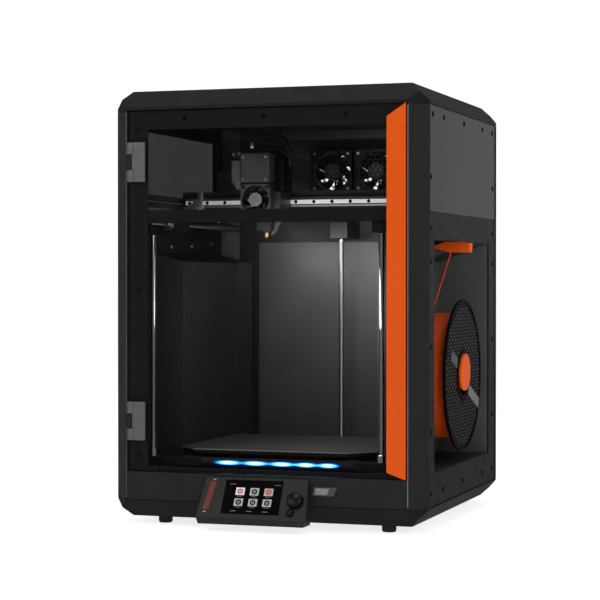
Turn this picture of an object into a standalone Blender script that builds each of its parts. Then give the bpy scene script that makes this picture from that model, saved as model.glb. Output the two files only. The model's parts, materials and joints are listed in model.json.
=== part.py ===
"""Enclosed desktop 3-D printer: a chamfered sheet-metal body, a hinged front door, a CoreXY gantry,
a bed on lead screws, and a filament spool in a recess of the right side.

Metres, +Z up. The front faces -Y. The origin is on the floor, under the middle of the overall box.
"""

import math

import bmesh
import bpy
from mathutils import Matrix, Vector

MM = 0.001

# Driving dimensions ---------------------------------------------------------------------------
WIDTH = 415 * MM
DEPTH = 415 * MM
HEIGHT = 555 * MM
SCREEN_REACH = 29 * MM          # how far the screen unit stands out in front of the body
FOOT_HEIGHT = 10 * MM
FOOT_RADIUS = 9 * MM
CHAMFER = 22 * MM               # cut on all twelve edges of the body
SHEET = 2 * MM
GAP = 0.3 * MM                  # between pieces that touch
FRONT = -(DEPTH - SCREEN_REACH) / 2
BACK = FRONT + DEPTH
HALF = WIDTH / 2

BASE_TOP = 33 * MM              # top of the base pan's rim
SILL = 69 * MM                  # top of the lower front panel
HEAD_LINE = 529 * MM            # bottom of the top frame
SIDE_SPLIT = 397.3 * MM         # between the lower side panels and the windows
LIP = 25.2 * MM                 # the corner sheets end here, measured from front or back
SIDE_FACE = HALF - 1.2 * MM     # outer face of the side panels

CHAMBER_X = -12 * MM            # middle of the print chamber
FLOOR_TOP = 68 * MM
DOOR_HINGE_X = -181 * MM
GLASS = 4 * MM

SPOOL_Y = FRONT + 222 * MM
SPOOL_Z = 187 * MM
SPOOL_RADIUS = 100 * MM
SPOOL_BORE = 27 * MM
WINDING_RADIUS = 83 * MM
SPOOL_IN, SPOOL_OUT = 137 * MM, 202 * MM
HOLDER_RADIUS = 22 * MM
HOLDER_Z = SPOOL_Z + SPOOL_BORE - HOLDER_RADIUS - 2 * GAP
RECESS_IN = 135.5 * MM
RECESS_FRONT, RECESS_BACK = FRONT + 50 * MM, FRONT + 350 * MM
RECESS_BOTTOM, RECESS_TOP = 73.5 * MM, 364.5 * MM
GUIDE_Y = FRONT + 250 * MM      # the ceiling of the recess slopes behind the filament guide

BED_TOP = 95 * MM               # with the bed at its lowest
BED_TRAVEL = 270 * MM
NOZZLE_TIP = BED_TOP + BED_TRAVEL + 1.5 * MM
ROD_Y = FRONT + 40 * MM
Z_ROD_OUT = 154 * MM            # guide rods, each side of the chamber's middle
SCREW_OUT = 168 * MM            # front lead screws, each side of the chamber's middle
REAR_SCREW_Y = FRONT + 366 * MM
SCREW_TOP = 371.7 * MM
MOTOR = 42 * MM

Y_ROD_OUT = 174 * MM
Y_ROD_Z = 388 * MM
BEAM_FRONT = FRONT + 152 * MM
HEAD_X = -44 * MM
HEAD_FRONT = FRONT + 90 * MM
PULLEY_Z = 416 * MM
DRIVE_Y = FRONT + 375 * MM
SCREWS = {
    "left": (CHAMBER_X - SCREW_OUT, ROD_Y),
    "right": (CHAMBER_X + SCREW_OUT, ROD_Y),
    "rear": (CHAMBER_X, REAR_SCREW_Y),
}

HINGES = {"hinge_upper": (438 * MM, 488 * MM), "hinge_lower": (109 * MM, 158 * MM)}
HEAD_FAN_Z = 417.5 * MM
REAR_FANS = {"left": -34 * MM, "right": 32 * MM}
REAR_FAN_Z = 470 * MM
INLET_X = (98 * MM, 148 * MM)
INLET_Z = (36 * MM, 62 * MM)

FINISHES = {
    "black_sheet": ((0.020, 0.020, 0.021), 0.50, 0.4),
    "black_plastic": ((0.016, 0.016, 0.017), 0.45, 0.0),
    "smoked": ((0.05, 0.05, 0.052), 0.08, 0.0),
    "clear": ((0.55, 0.56, 0.58), 0.04, 0.0),
    "orange": ((0.72, 0.12, 0.012), 0.40, 0.0),
    "steel": ((0.62, 0.62, 0.62), 0.25, 1.0),
    "brass": ((0.70, 0.50, 0.22), 0.30, 1.0),
    "grey": ((0.17, 0.17, 0.17), 0.45, 0.0),
    "rubber": ((0.015, 0.015, 0.015), 0.85, 0.0),
    "spring_sheet": ((0.10, 0.09, 0.075), 0.55, 0.3),
    "board": ((0.02, 0.08, 0.04), 0.50, 0.0),
}

# Scene and helpers ----------------------------------------------------------------------------
for old in list(bpy.data.objects):
    bpy.data.objects.remove(old, do_unlink=True)

PARTS = bpy.data.collections.new("fdm_printer")
CUTTERS = bpy.data.collections.new("cutters")
bpy.context.scene.collection.children.link(PARTS)
bpy.context.scene.collection.children.link(CUTTERS)


def finish_of(name, finish):
    """A material of its own for one part."""
    colour, roughness, metallic = FINISHES[finish]
    material = bpy.data.materials.new(f"{name}_{finish}")
    material.use_nodes = True
    shader = material.node_tree.nodes["Principled BSDF"]
    shader.inputs["Base Color"].default_value = (*colour, 1)
    shader.inputs["Roughness"].default_value = roughness
    shader.inputs["Metallic"].default_value = metallic
    return material


def pivot(name, position):
    """An empty on a joint's axis. The pieces that move on the joint are its children."""
    empty = bpy.data.objects.new(name, None)
    empty.location = position
    empty.empty_display_size = 0.02
    PARTS.objects.link(empty)
    return empty


def add(name, mesh_data, finish=None, location=(0, 0, 0), rotation=(0, 0, 0), parent=None):
    """Turn a bmesh into an object. Without a finish it is a helper for Boolean modifiers."""
    mesh = bpy.data.meshes.new(name)
    mesh_data.to_mesh(mesh)
    mesh_data.free()
    item = bpy.data.objects.new(name, mesh)
    item.rotation_euler = rotation
    item.location = Vector(location) - (parent.location if parent else Vector())
    item.parent = parent
    if finish:
        mesh.materials.append(finish_of(name, finish))
        PARTS.objects.link(item)
    else:
        item.hide_render = True
        item.display_type = "WIRE"
        CUTTERS.objects.link(item)
    return item


def box(name, x, y, z, finish=None, parent=None):
    """A box between pairs of limits, with its origin at its middle."""
    shape = bmesh.new()
    bmesh.ops.create_cube(shape, size=1)
    size = Vector((x[1] - x[0], y[1] - y[0], z[1] - z[0]))
    bmesh.ops.scale(shape, vec=size, verts=shape.verts)
    middle = ((x[0] + x[1]) / 2, (y[0] + y[1]) / 2, (z[0] + z[1]) / 2)
    return add(name, shape, finish, middle, parent=parent)


def rod(name, start, end, radius, finish=None, parent=None, sides=24, end_radius=None):
    """A cylinder, or a cone, between two points."""
    start, end = Vector(start), Vector(end)
    shape = bmesh.new()
    bmesh.ops.create_cone(
        shape, cap_ends=True, segments=sides, depth=(end - start).length,
        radius1=radius, radius2=radius if end_radius is None else end_radius,
    )
    turn = (end - start).to_track_quat("Z", "Y").to_euler()
    item = add(name, shape, finish, (start + end) / 2, turn, parent)
    item.data.shade_smooth()
    item.data.set_sharp_from_angle(angle=math.radians(40))
    return item


def boolean(item, other, operation):
    modifier = item.modifiers.new(operation.lower(), "BOOLEAN")
    modifier.operation = operation
    modifier.object = other
    return item


def cut(item, *others):
    for other in others:
        boolean(item, other, "DIFFERENCE")
    return item


def join(item, *others):
    for other in others:
        boolean(item, other, "UNION")
    return item


def folded_sheet(name, path, low, high, thickness, finish, along="Z"):
    """A sheet bent along a path of (x, y), or of (y, z) for a sheet that runs along X. It thickens
    to the left of the path's direction."""
    shape = bmesh.new()
    rows = []
    for level in (low, high):
        if along == "Z":
            rows.append([shape.verts.new((a, b, level)) for a, b in path])
        else:
            rows.append([shape.verts.new((level, a, b)) for a, b in path])
    for i in range(len(path) - 1):
        shape.faces.new((rows[0][i], rows[0][i + 1], rows[1][i + 1], rows[1][i]))
    item = add(name, shape, finish)
    shell = item.modifiers.new("sheet", "SOLIDIFY")
    shell.thickness = thickness
    shell.offset = -1
    shell.use_even_offset = True
    return item


def outline(name, points, low, high, finish=None, parent=None, level=False):
    """A flat outline of (x, z) points, between two values of Y. A level one has (x, y) points and lies
    between two values of Z."""
    curve = bpy.data.curves.new(name, "CURVE")
    curve.dimensions = "2D"
    curve.fill_mode = "BOTH"
    curve.extrude = (high - low) / 2
    line = curve.splines.new("POLY")
    line.points.add(len(points) - 1)
    for point, (x, z) in zip(line.points, points):
        point.co = (x, z, 0, 1)
    line.use_cyclic_u = True
    drawn = bpy.data.objects.new(name, curve)
    CUTTERS.objects.link(drawn)
    graph = bpy.context.evaluated_depsgraph_get()
    mesh = bpy.data.meshes.new_from_object(drawn.evaluated_get(graph))
    shape = bmesh.new()
    shape.from_mesh(mesh)
    bmesh.ops.remove_doubles(shape, verts=shape.verts, dist=1e-6)
    bmesh.ops.recalc_face_normals(shape, faces=shape.faces)
    bpy.data.objects.remove(drawn, do_unlink=True)
    middle = (low + high) / 2
    if level:
        return add(name, shape, finish, (0, 0, middle), parent=parent)
    return add(name, shape, finish, (0, middle, 0), (math.pi / 2, 0, 0), parent)


def turned(name, profile, centre, finish, parent=None, steps=48):
    """A turned piece about an axis along X. The profile holds (radius, distance along the axis)."""
    shape = bmesh.new()
    points = [shape.verts.new((radius, 0, -along)) for radius, along in profile]
    for first, second in zip(points, points[1:] + points[:1]):
        shape.edges.new((first, second))
    item = add(name, shape, finish, centre, (0, -math.pi / 2, 0), parent)
    screw = item.modifiers.new("turn", "SCREW")
    screw.steps = screw.render_steps = steps
    screw.use_merge_vertices = True
    screw.merge_threshold = 1e-5
    screw.use_normal_calculate = True
    screw.use_normal_flip = True
    return item


def chamfered_hull(name, inset, top_inset=None):
    """The body's outline with its twelve cut edges, drawn inwards by a sheet's thickness."""
    cut_size = CHAMFER - (2 - math.sqrt(2)) * inset
    top = HEIGHT - (inset if top_inset is None else top_inset)
    low = FOOT_HEIGHT + inset
    shape = bmesh.new()
    for side in (-1, 1):
        for end in (-1, 1):
            for z, up in ((low, 1), (top, -1)):
                corner = Vector((side * (HALF - inset), end * (DEPTH / 2 - inset), z))
                for offset in ((1, 1, 0), (1, 0, 1), (0, 1, 1), (0.5, 0.5, 0.5)):
                    shape.verts.new(
                        corner + cut_size * Vector((-side * offset[0], -end * offset[1], up * offset[2]))
                    )
    hull = bmesh.ops.convex_hull(shape, input=shape.verts)
    spare = [item for item in hull["geom_interior"] if isinstance(item, bmesh.types.BMVert)]
    bmesh.ops.delete(shape, geom=spare, context="VERTS")
    bmesh.ops.dissolve_limit(shape, angle_limit=0.001, verts=shape.verts, edges=shape.edges)
    bmesh.ops.recalc_face_normals(shape, faces=shape.faces)
    return shape, (0, (FRONT + BACK) / 2, 0)


# Body -----------------------------------------------------------------------------------------
def body_part(name, low, high, top_thickness=None):
    """The part of the chamfered shell between two heights."""
    outer, middle = chamfered_hull(name, 0)
    item = add(name, outer, "black_sheet", middle)
    inner, middle = chamfered_hull(f"{name}_hollow", SHEET, top_thickness)
    cut(item, add(f"{name}_hollow", inner, None, middle))
    band = box(f"{name}_band", (-HALF - 0.01, HALF + 0.01), (FRONT - 0.01, BACK + 0.01), (low, high))
    return boolean(item, band, "INTERSECT")


def body():
    body_part("base_pan", FOOT_HEIGHT - 0.01, BASE_TOP)
    top = body_part("top_frame", HEAD_LINE, HEIGHT + 0.01, 2 * SHEET)
    lid = 168 * MM
    middle = (FRONT + BACK) / 2
    rebate = box("lid_rebate", (-lid - GAP, lid + GAP), (middle - lid - GAP, middle + lid + GAP),
                 (HEIGHT - SHEET - GAP, HEIGHT + 0.01))
    hole = lid - 10 * MM
    opening = box("lid_opening", (-hole, hole), (middle - hole, middle + hole),
                  (HEIGHT - 0.02, HEIGHT + 0.02))
    cut(top, rebate, opening)
    panel = box("top_panel", (-lid, lid), (middle - lid, middle + lid), (HEIGHT - SHEET, HEIGHT),
                "black_sheet")
    for i in range(6):
        x = (i - 2.5) * 14 * MM
        cut(panel, box(f"vent_cut_{i}", (x - 3 * MM, x + 3 * MM), (middle + 70 * MM, middle + 130 * MM),
                       (HEIGHT - 0.01, HEIGHT + 0.01)))
    for side, word in ((-1, "left"), (1, "right")):
        for end, where in ((-1, "front"), (1, "rear")):
            y = middle + end * (DEPTH / 2 - 44 * MM)
            rod(f"foot_{where}_{word}", (side * 150 * MM, y, 0), (side * 150 * MM, y, FOOT_HEIGHT - GAP),
                FOOT_RADIUS, "rubber")


def corner_path(side):
    """A front corner's bends: a return beside the door, the chamfer, and a seat for the side panels."""
    flat = HALF - CHAMFER
    seat = HALF - 3.9 * MM
    path = [(flat, FRONT + 16 * MM), (flat, FRONT), (HALF, FRONT + CHAMFER), (HALF, FRONT + LIP),
            (seat, FRONT + LIP), (seat, FRONT + 40 * MM)]
    if side < 0:
        path = [(-x, y) for x, y in reversed(path)]
    return path


def posts():
    for side, word in ((-1, "left"), (1, "right")):
        post = folded_sheet(f"post_front_{word}", corner_path(side), BASE_TOP + GAP, HEAD_LINE - GAP,
                            SHEET, "black_sheet")
        if side < 0:
            for name, (low, high) in HINGES.items():
                knuckle = 14.7 * MM
                x = DOOR_HINGE_X
                span = (low + knuckle + GAP, high - knuckle - GAP)
                lug = (-HALF + CHAMFER - MM, x)
                join(post,
                     rod(f"{name}_post_knuckle", (x, FRONT, span[0]), (x, FRONT, span[1]), 3.5 * MM),
                     box(f"{name}_post_lug", lug, (FRONT - MM, FRONT + 1.5 * MM), span),
                     rod(f"{name}_pin", (x, FRONT, low + 3 * MM), (x, FRONT, high - 3 * MM), 1.5 * MM,
                         sides=16))


def rear_shell():
    """The back and both rear chamfers in one bent sheet, with its welded brackets."""
    flat = HALF - CHAMFER
    right = [(HALF, BACK - LIP), (HALF, BACK - CHAMFER), (flat, BACK)]
    path = right + [(-x, y) for x, y in reversed(right)]
    shell = folded_sheet("rear_shell", path, BASE_TOP + GAP, HEAD_LINE - GAP, SHEET, "black_sheet")
    join(shell, box("screw_bracket", (CHAMBER_X - 13 * MM, CHAMBER_X + 13 * MM),
                    (FRONT + 352 * MM, BACK - MM), (SCREW_TOP + GAP, SCREW_TOP + 24 * MM)))
    for side in (-1, 1):
        x = CHAMBER_X + side * SCREW_OUT
        across = (max(x - MOTOR / 2, MM - flat), x + MOTOR / 2)
        join(shell, box(f"motor_shelf_{side}", across, (DRIVE_Y - 22 * MM, BACK - MM),
                        (PULLEY_Z + 54 * MM, PULLEY_Z + 57 * MM)))
    for x in REAR_FANS.values():
        through = [(x, BACK + end * 20 * MM, REAR_FAN_Z) for end in (-1, 1)]
        cut(shell, rod(f"fan_hole_{x:.3f}", *through, 27 * MM))
    cut(shell, box("inlet_hole", (INLET_X[0] - GAP, INLET_X[1] + GAP), (BACK - 20 * MM, BACK + 20 * MM),
                   (INLET_Z[0] - GAP, INLET_Z[1] + GAP)))


def front_panels():
    flat = HALF - CHAMFER - GAP
    path = [(FRONT + 15 * MM, SILL), (FRONT, SILL), (FRONT, BASE_TOP + GAP)]
    folded_sheet("front_lower_panel", path, -flat, flat, SHEET, "black_sheet", along="X")
    x, low, high = 184 * MM, SILL + MM, HEAD_LINE - MM
    frame = box("door_frame", (-x, x), (FRONT + 5 * MM, FRONT + 7 * MM), (low, high), "black_sheet")
    cut(frame, box("door_frame_opening", (-158 * MM, 158 * MM), (FRONT, FRONT + 0.02),
                   (low + 6 * MM, 504 * MM)))
    join(frame, box("crossbar", (-176 * MM, 176 * MM), (FRONT + 6 * MM, FRONT + 21 * MM),
                    (386 * MM, 402 * MM)))
    for side in (-1, 1):
        inner, outer = CHAMBER_X + side * 147 * MM, CHAMBER_X + side * 176 * MM
        across = (min(inner, outer), max(inner, outer))
        join(frame,
             box(f"rod_bracket_{side}", across, (FRONT + 16.5 * MM, FRONT + 50 * MM),
                 (SCREW_TOP + GAP, 381 * MM)),
             box(f"rod_bracket_web_{side}", across, (FRONT + 16.5 * MM, FRONT + 20 * MM),
                 (SCREW_TOP + GAP, 390 * MM)))


def side_panels():
    face, back = SIDE_FACE, SIDE_FACE - SHEET
    y = (FRONT + LIP + GAP, BACK - LIP - GAP)
    for side, word in ((-1, "left"), (1, "right")):
        x = (min(side * face, side * back), max(side * face, side * back))
        box(f"{word}_window", x, y, (SIDE_SPLIT + GAP, HEAD_LINE - GAP), "smoked")
        panel = box(f"{word}_side_panel", x, y, (BASE_TOP + GAP, SIDE_SPLIT), "black_sheet")
        if side > 0:
            cut(panel, box("recess_mouth", (0.18, 0.23), (RECESS_FRONT, RECESS_BACK),
                           (RECESS_BOTTOM, RECESS_TOP - 1.5 * MM)))


def chamber():
    """The floor of the chamber, the hollow cover on its left and the spool's recess on its right."""
    edge = 1.5 * MM
    floor = box("chamber_floor", (-200 * MM, 200 * MM), (FRONT + 19.5 * MM, FRONT + 388 * MM),
                (FLOOR_TOP - SHEET, FLOOR_TOP), "black_sheet")
    for i, (x, y) in enumerate(SCREWS.values()):
        cut(floor, rod(f"screw_hole_{i}", (x, y, 0.05), (x, y, 0.08), 6 * MM))
    wall, side, foot = -203 * MM, -155 * MM, FLOOR_TOP + GAP
    profile = [(wall, foot), (side, foot), (side, 337.5 * MM), (wall, 350 * MM)]
    cover = outline("left_inner_cover", profile, FRONT + 120 * MM, FRONT + 386 * MM, "black_sheet")
    hollow = [(wall - edge, foot - edge), (side - edge, foot - edge), (side - edge, 336.3 * MM),
              (wall - edge, 348.8 * MM)]
    cut(cover, outline("cover_hollow", hollow, FRONT + 120 * MM + edge, FRONT + 388 * MM))
    tray = box("spool_recess", (RECESS_IN - edge, SIDE_FACE - SHEET - GAP),
               (RECESS_FRONT - edge, RECESS_BACK + edge), (RECESS_BOTTOM - edge, RECESS_TOP + edge),
               "black_sheet")
    cut(tray, box("recess_hollow", (RECESS_IN, 0.25), (RECESS_FRONT, RECESS_BACK),
                  (RECESS_BOTTOM, RECESS_TOP)))
    slope = [(RECESS_IN - MM, RECESS_TOP + MM), (RECESS_IN - MM, RECESS_TOP - 26.5 * MM),
             (SIDE_FACE - 4 * MM, RECESS_TOP - 1.5 * MM), (SIDE_FACE - 4 * MM, RECESS_TOP + MM)]
    join(tray, outline("ceiling_slope", slope, GUIDE_Y + 8 * MM, RECESS_BACK + edge / 2))


# Door -----------------------------------------------------------------------------------------
def door():
    axis = pivot("door_axis", (DOOR_HINGE_X, FRONT, SILL))
    box("door_glass", (DOOR_HINGE_X + 4.2 * MM, 184.2 * MM), (FRONT + GAP, FRONT + GLASS),
        (SILL + MM, HEAD_LINE - GAP), "clear", axis)
    inner, outer = 159.5 * MM, 183.6 * MM
    strip = [(inner, 78 * MM), (outer, 69.5 * MM), (outer, 528.6 * MM), (inner, 512.7 * MM)]
    outline("door_handle", strip, FRONT - 3 * MM, FRONT, "orange", axis)
    for name, (low, high) in HINGES.items():
        leaf = box(name, (DOOR_HINGE_X, -159.5 * MM), (FRONT - 2.5 * MM, FRONT), (low, high), "grey", axis)
        join(leaf, rod(f"{name}_barrel", (DOOR_HINGE_X, FRONT, low), (DOOR_HINGE_X, FRONT, high), 3.5 * MM))
        cut(leaf,
            box(f"{name}_notch", (-0.19, DOOR_HINGE_X + 4 * MM), (FRONT - 0.01, FRONT + 0.01),
                (low + 14.7 * MM, high - 14.7 * MM)),
            rod(f"{name}_bore", (DOOR_HINGE_X, FRONT, low - MM), (DOOR_HINGE_X, FRONT, high + MM), 1.8 * MM,
                sides=16))


# Motion system --------------------------------------------------------------------------------
def motor(name, x, y, low, high):
    """A square stepper motor with its corners cut."""
    half = MOTOR / 2
    item = box(name, (x - half, x + half), (y - half, y + half), (low, high), "black_plastic")
    bevel = item.modifiers.new("corners", "BEVEL")
    bevel.width = 4 * MM
    bevel.segments = 1
    bevel.limit_method = "WEIGHT"
    weights = item.data.attributes.new("bevel_weight_edge", "FLOAT", "EDGE")
    for edge in item.data.edges:
        a, b = (item.data.vertices[i].co for i in edge.vertices)
        weights.data[edge.index].value = 1.0 if abs(a.z - b.z) > 1e-4 else 0.0


def lifting():
    """Three motors in the base, each turning a lead screw, and the two guide rods."""
    for word, (x, y) in SCREWS.items():
        motor(f"z_motor_{word}", x, y, 30 * MM, FLOOR_TOP - SHEET - 2 * GAP)
        foot = FLOOR_TOP - SHEET - GAP
        axis = pivot(f"screw_axis_{word}", (x, y, foot))
        rod(f"lead_screw_{word}", (x, y, foot), (x, y, SCREW_TOP), 4 * MM, "steel", axis)
    for side, word in ((-1, "left"), (1, "right")):
        x = CHAMBER_X + side * Z_ROD_OUT
        rod(f"z_rod_{word}", (x, ROD_Y, FLOOR_TOP + GAP), (x, ROD_Y, SCREW_TOP), 4 * MM, "steel", sides=20)


def bed():
    """The bed's frame runs on the rods and screws. Its front beam carries the light strip."""
    axis = pivot("bed_axis", (CHAMBER_X, ROD_Y, BED_TOP))
    beam_y = (FRONT + 32 * MM, FRONT + 48 * MM)
    level = (75 * MM, 86 * MM)
    frame = box("bed_frame", (CHAMBER_X - 177 * MM, CHAMBER_X + 176 * MM), beam_y, level, "black_sheet", axis)
    rear = (FRONT + 290 * MM, FRONT + 300 * MM)
    for side in (-1, 1):
        x = CHAMBER_X + side * 110 * MM
        join(frame, box(f"bed_rail_{side}", (x - 8 * MM, x + 8 * MM), (beam_y[0] + 4 * MM, rear[1]), level))
    join(frame,
         box("bed_cross", (CHAMBER_X - 112 * MM, CHAMBER_X + 112 * MM), rear, level),
         box("bed_rear_arm", (CHAMBER_X - 12 * MM, CHAMBER_X + 12 * MM),
             (rear[0] + 2 * MM, REAR_SCREW_Y + 12 * MM), level))
    for i, (x, y) in enumerate(SCREWS.values()):
        cut(frame, rod(f"nut_bore_{i}", (x, y, 0.06), (x, y, 0.1), 4.4 * MM))
    for side in (-1, 1):
        x = CHAMBER_X + side * Z_ROD_OUT
        cut(frame, rod(f"bearing_bore_{side}", (x, ROD_Y, 0.06), (x, ROD_Y, 0.1), 4.4 * MM, sides=20))
    outline("print_bed", bed_outline(), BED_TOP - 8 * MM, BED_TOP, "spring_sheet", axis, level=True)


def bed_outline():
    """The bed's plan: a rectangle with its front corners cut."""
    left, right = CHAMBER_X - 134 * MM, CHAMBER_X + 134 * MM
    front, rear, corner = FRONT + 58 * MM, FRONT + 302 * MM, 30 * MM
    return [(left + corner, front), (right - corner, front), (right, front + corner), (right, rear),
            (left, rear), (left, front + corner)]


def gantry():
    axis = pivot("gantry_axis", (CHAMBER_X, BEAM_FRONT, Y_ROD_Z))
    beam = box("gantry_beam", (CHAMBER_X - 152 * MM, CHAMBER_X + 152 * MM),
               (BEAM_FRONT, BEAM_FRONT + 18 * MM), (406 * MM, 424 * MM), "black_sheet", axis)
    for side, word in ((-1, "left"), (1, "right")):
        x = CHAMBER_X + side * Y_ROD_OUT
        block = (x - 13 * MM, x + 13 * MM)
        along = (BEAM_FRONT - 14 * MM, BEAM_FRONT + 34 * MM)
        end = sorted((CHAMBER_X + side * 128 * MM, CHAMBER_X + side * 158 * MM))
        shelf = sorted((x + side * 13 * MM, CHAMBER_X + side * 140 * MM))
        join(beam,
             box(f"carriage_{word}", block, along, (377 * MM, 400 * MM)),
             box(f"carriage_shelf_{word}", shelf, (BEAM_FRONT + GAP, along[1]), (399 * MM, 407 * MM)),
             box(f"beam_end_{word}", end, (BEAM_FRONT + GAP, BEAM_FRONT + 24 * MM), (405 * MM, 431 * MM)))
        cut(beam, rod(f"rod_bore_{word}", (x, FRONT, Y_ROD_Z), (x, BACK, Y_ROD_Z), 5.4 * MM, sides=20))
        rod(f"y_rod_{word}", (x, FRONT + 21.3 * MM, Y_ROD_Z), (x, BACK - 9.5 * MM, Y_ROD_Z), 5 * MM,
            "steel", sides=20)
        drive_x = CHAMBER_X + side * SCREW_OUT
        low = PULLEY_Z + 14 * MM
        motor(f"xy_motor_{word}", drive_x, DRIVE_Y, low, low + 39.5 * MM)
        spin = pivot(f"pulley_axis_{word}", (drive_x, DRIVE_Y, PULLEY_Z))
        rod(f"drive_pulley_{word}", (drive_x, DRIVE_Y, PULLEY_Z - 12 * MM), (drive_x, DRIVE_Y, low - GAP),
            8 * MM, "steel", spin)
    box("x_rail", (CHAMBER_X - 150 * MM, CHAMBER_X + 150 * MM), (BEAM_FRONT - 8 * MM, BEAM_FRONT - GAP),
        (410 * MM, 422 * MM), "steel", axis)


def print_head():
    axis = pivot("head_axis", (HEAD_X, BEAM_FRONT, PULLEY_Z))
    x, y = HEAD_X, HEAD_FRONT
    half = MOTOR / 2
    rear = BEAM_FRONT - 8 * MM - GAP
    body_item = box("print_head", (x - half, x + half), (y, rear), (439 * MM, 481 * MM),
                    "black_plastic", axis)
    join(body_item,
         box("gear_side", (x - 34 * MM, x - half + MM), (y + 4 * MM, y + 40 * MM), (446 * MM, 477 * MM)),
         box("head_right", (x + half - MM, x + 33 * MM), (y + 18 * MM, rear), (430 * MM, 474 * MM)),
         box("heat_sink", (x - 16 * MM, x + 16 * MM), (y + 13 * MM, rear), (398 * MM, 440 * MM)),
         box("fan_frame", (x - 20.5 * MM, x + 20.5 * MM), (y, y + 14 * MM), (397 * MM, 440 * MM)))
    fan = (x, y, HEAD_FAN_Z)
    cut(body_item, rod("fan_pocket", (x, y - 0.01, HEAD_FAN_Z), (x, y + 9 * MM, HEAD_FAN_Z), 18.5 * MM,
                       sides=32))
    spin = pivot("head_fan_axis", fan)
    spin.parent = axis
    spin.location = Vector(fan) - axis.location
    rotor("head_fan_rotor", (x, y + 1 * MM, HEAD_FAN_Z), 7 * MM, 17.5 * MM, 9 * MM)
    rotor_item = bpy.data.objects["head_fan_rotor"]
    rotor_item.parent = spin
    rotor_item.location = rotor_item.location - Vector(fan)
    nozzle_y = y + 44 * MM
    heater = box("nozzle", (x - 11 * MM, x + 9 * MM), (nozzle_y - 8 * MM, nozzle_y + 8 * MM),
                 (378 * MM, 390 * MM), "brass", axis)
    join(heater,
         rod("heat_break", (x, nozzle_y, 388 * MM), (x, nozzle_y, 398 * MM - GAP), 3.5 * MM),
         rod("tip", (x, nozzle_y, NOZZLE_TIP), (x, nozzle_y, 379 * MM), 0.8 * MM, end_radius=5 * MM))


def rotor(name, front, depth, radius, hub, blades=7):
    """A fan's rotor about an axis along Y: a hub with flat slanted blades."""
    x, y, z = front
    item = rod(name, (x, y, z), (x, y + depth, z), hub, "black_plastic")
    for i in range(blades):
        turn = 2 * math.pi * i / blades
        shape = bmesh.new()
        bmesh.ops.create_cube(shape, size=1)
        bmesh.ops.scale(shape, vec=(radius - hub + 1 * MM, 1.2 * MM, depth * 1.1), verts=shape.verts)
        bmesh.ops.rotate(shape, matrix=Matrix.Rotation(0.75, 3, "X"), verts=shape.verts)
        bmesh.ops.translate(shape, vec=((radius + hub) / 2 - 0.5 * MM, 0, 0), verts=shape.verts)
        blade = add(f"{name}_blade_{i}", shape)
        middle = Vector((x, y + depth / 2, z))
        spin = Matrix.Rotation(turn, 4, "Y") @ Matrix.Rotation(math.pi / 2, 4, "X")
        blade.matrix_world = Matrix.Translation(middle) @ spin
        join(item, blade)
    return item


# Fans, power and electronics ------------------------------------------------------------------
def rear_fans():
    y = (BACK - 28 * MM, BACK - SHEET - GAP)
    housing = box("rear_fan_housing", (REAR_FANS["left"] - 32 * MM, REAR_FANS["right"] + 32 * MM), y,
                  (REAR_FAN_Z - 32 * MM, REAR_FAN_Z + 32 * MM), "black_plastic")
    for word, x in REAR_FANS.items():
        through = [(x, end, REAR_FAN_Z) for end in (y[0] - 0.01, y[1] + 0.01)]
        cut(housing, rod(f"rear_fan_bore_{word}", *through, 28.5 * MM, sides=32))
        spin = pivot(f"rear_fan_axis_{word}", (x, y[0] + 4 * MM, REAR_FAN_Z))
        item = rotor(f"rear_fan_rotor_{word}", (x, y[0] + 4 * MM, REAR_FAN_Z), 16 * MM, 27 * MM, 13 * MM)
        item.parent = spin
        item.location = item.location - spin.location


def electrics():
    box("power_supply", (-140 * MM, -40 * MM), (FRONT + 110 * MM, FRONT + 325 * MM),
        (FOOT_HEIGHT + SHEET + GAP, 62 * MM), "grey")
    box("control_board", (-200 * MM, -192 * MM), (FRONT + 180 * MM, FRONT + 360 * MM),
        (110 * MM, 320 * MM), "board")
    inlet = box("power_inlet", INLET_X, (BACK - 30 * MM, BACK), INLET_Z, "black_plastic")
    x, z = INLET_X[0], (INLET_Z[0] + INLET_Z[1]) / 2
    cut(inlet,
        box("socket", (x + 3 * MM, x + 28 * MM), (BACK - 16 * MM, BACK + 0.01), (z - 9 * MM, z + 9 * MM)),
        box("switch_well", (x + 33 * MM, x + 46 * MM), (BACK - 14 * MM, BACK + 0.01),
            (z - 10.5 * MM, z + 10.5 * MM)))
    spot = (x + 39.5 * MM, BACK - 6 * MM, z)
    axis = pivot("switch_axis", spot)
    rocker = rod("power_switch", (spot[0] - 6 * MM, spot[1], z), (spot[0] + 6 * MM, spot[1], z), 5 * MM,
                 "black_plastic", axis)
    join(rocker, box("rocker_face", (spot[0] - 6 * MM, spot[0] + 6 * MM), (spot[1] + 1 * MM, BACK - 1.5 * MM),
                     (z - 9 * MM, z + 9 * MM)))


# Screen unit ----------------------------------------------------------------------------------
FACE_TOP = Vector((0, FRONT - 2 * MM, 66 * MM))
FACE_FOOT = Vector((0, FRONT - SCREEN_REACH, 18 * MM))
FACE_DOWN = (FACE_FOOT - FACE_TOP).normalized()
FACE_OUT = Vector((0, FACE_DOWN.z, -FACE_DOWN.y)).normalized()


def on_face(x, down, out=0):
    """A point on the slanted face: across, down from its top edge, and out from it."""
    return Vector((x, 0, 0)) + FACE_TOP + FACE_DOWN * down + FACE_OUT * out


def face_box(name, x, down, out, finish=None):
    shape = bmesh.new()
    bmesh.ops.create_cube(shape, size=1)
    size = (x[1] - x[0], out[1] - out[0], down[1] - down[0])
    bmesh.ops.scale(shape, vec=size, verts=shape.verts)
    middle = on_face(sum(x) / 2, sum(down) / 2, sum(out) / 2)
    tilt = math.atan2(-FACE_DOWN.y, -FACE_DOWN.z)
    return add(name, shape, finish, middle, (-tilt, 0, 0))


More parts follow.
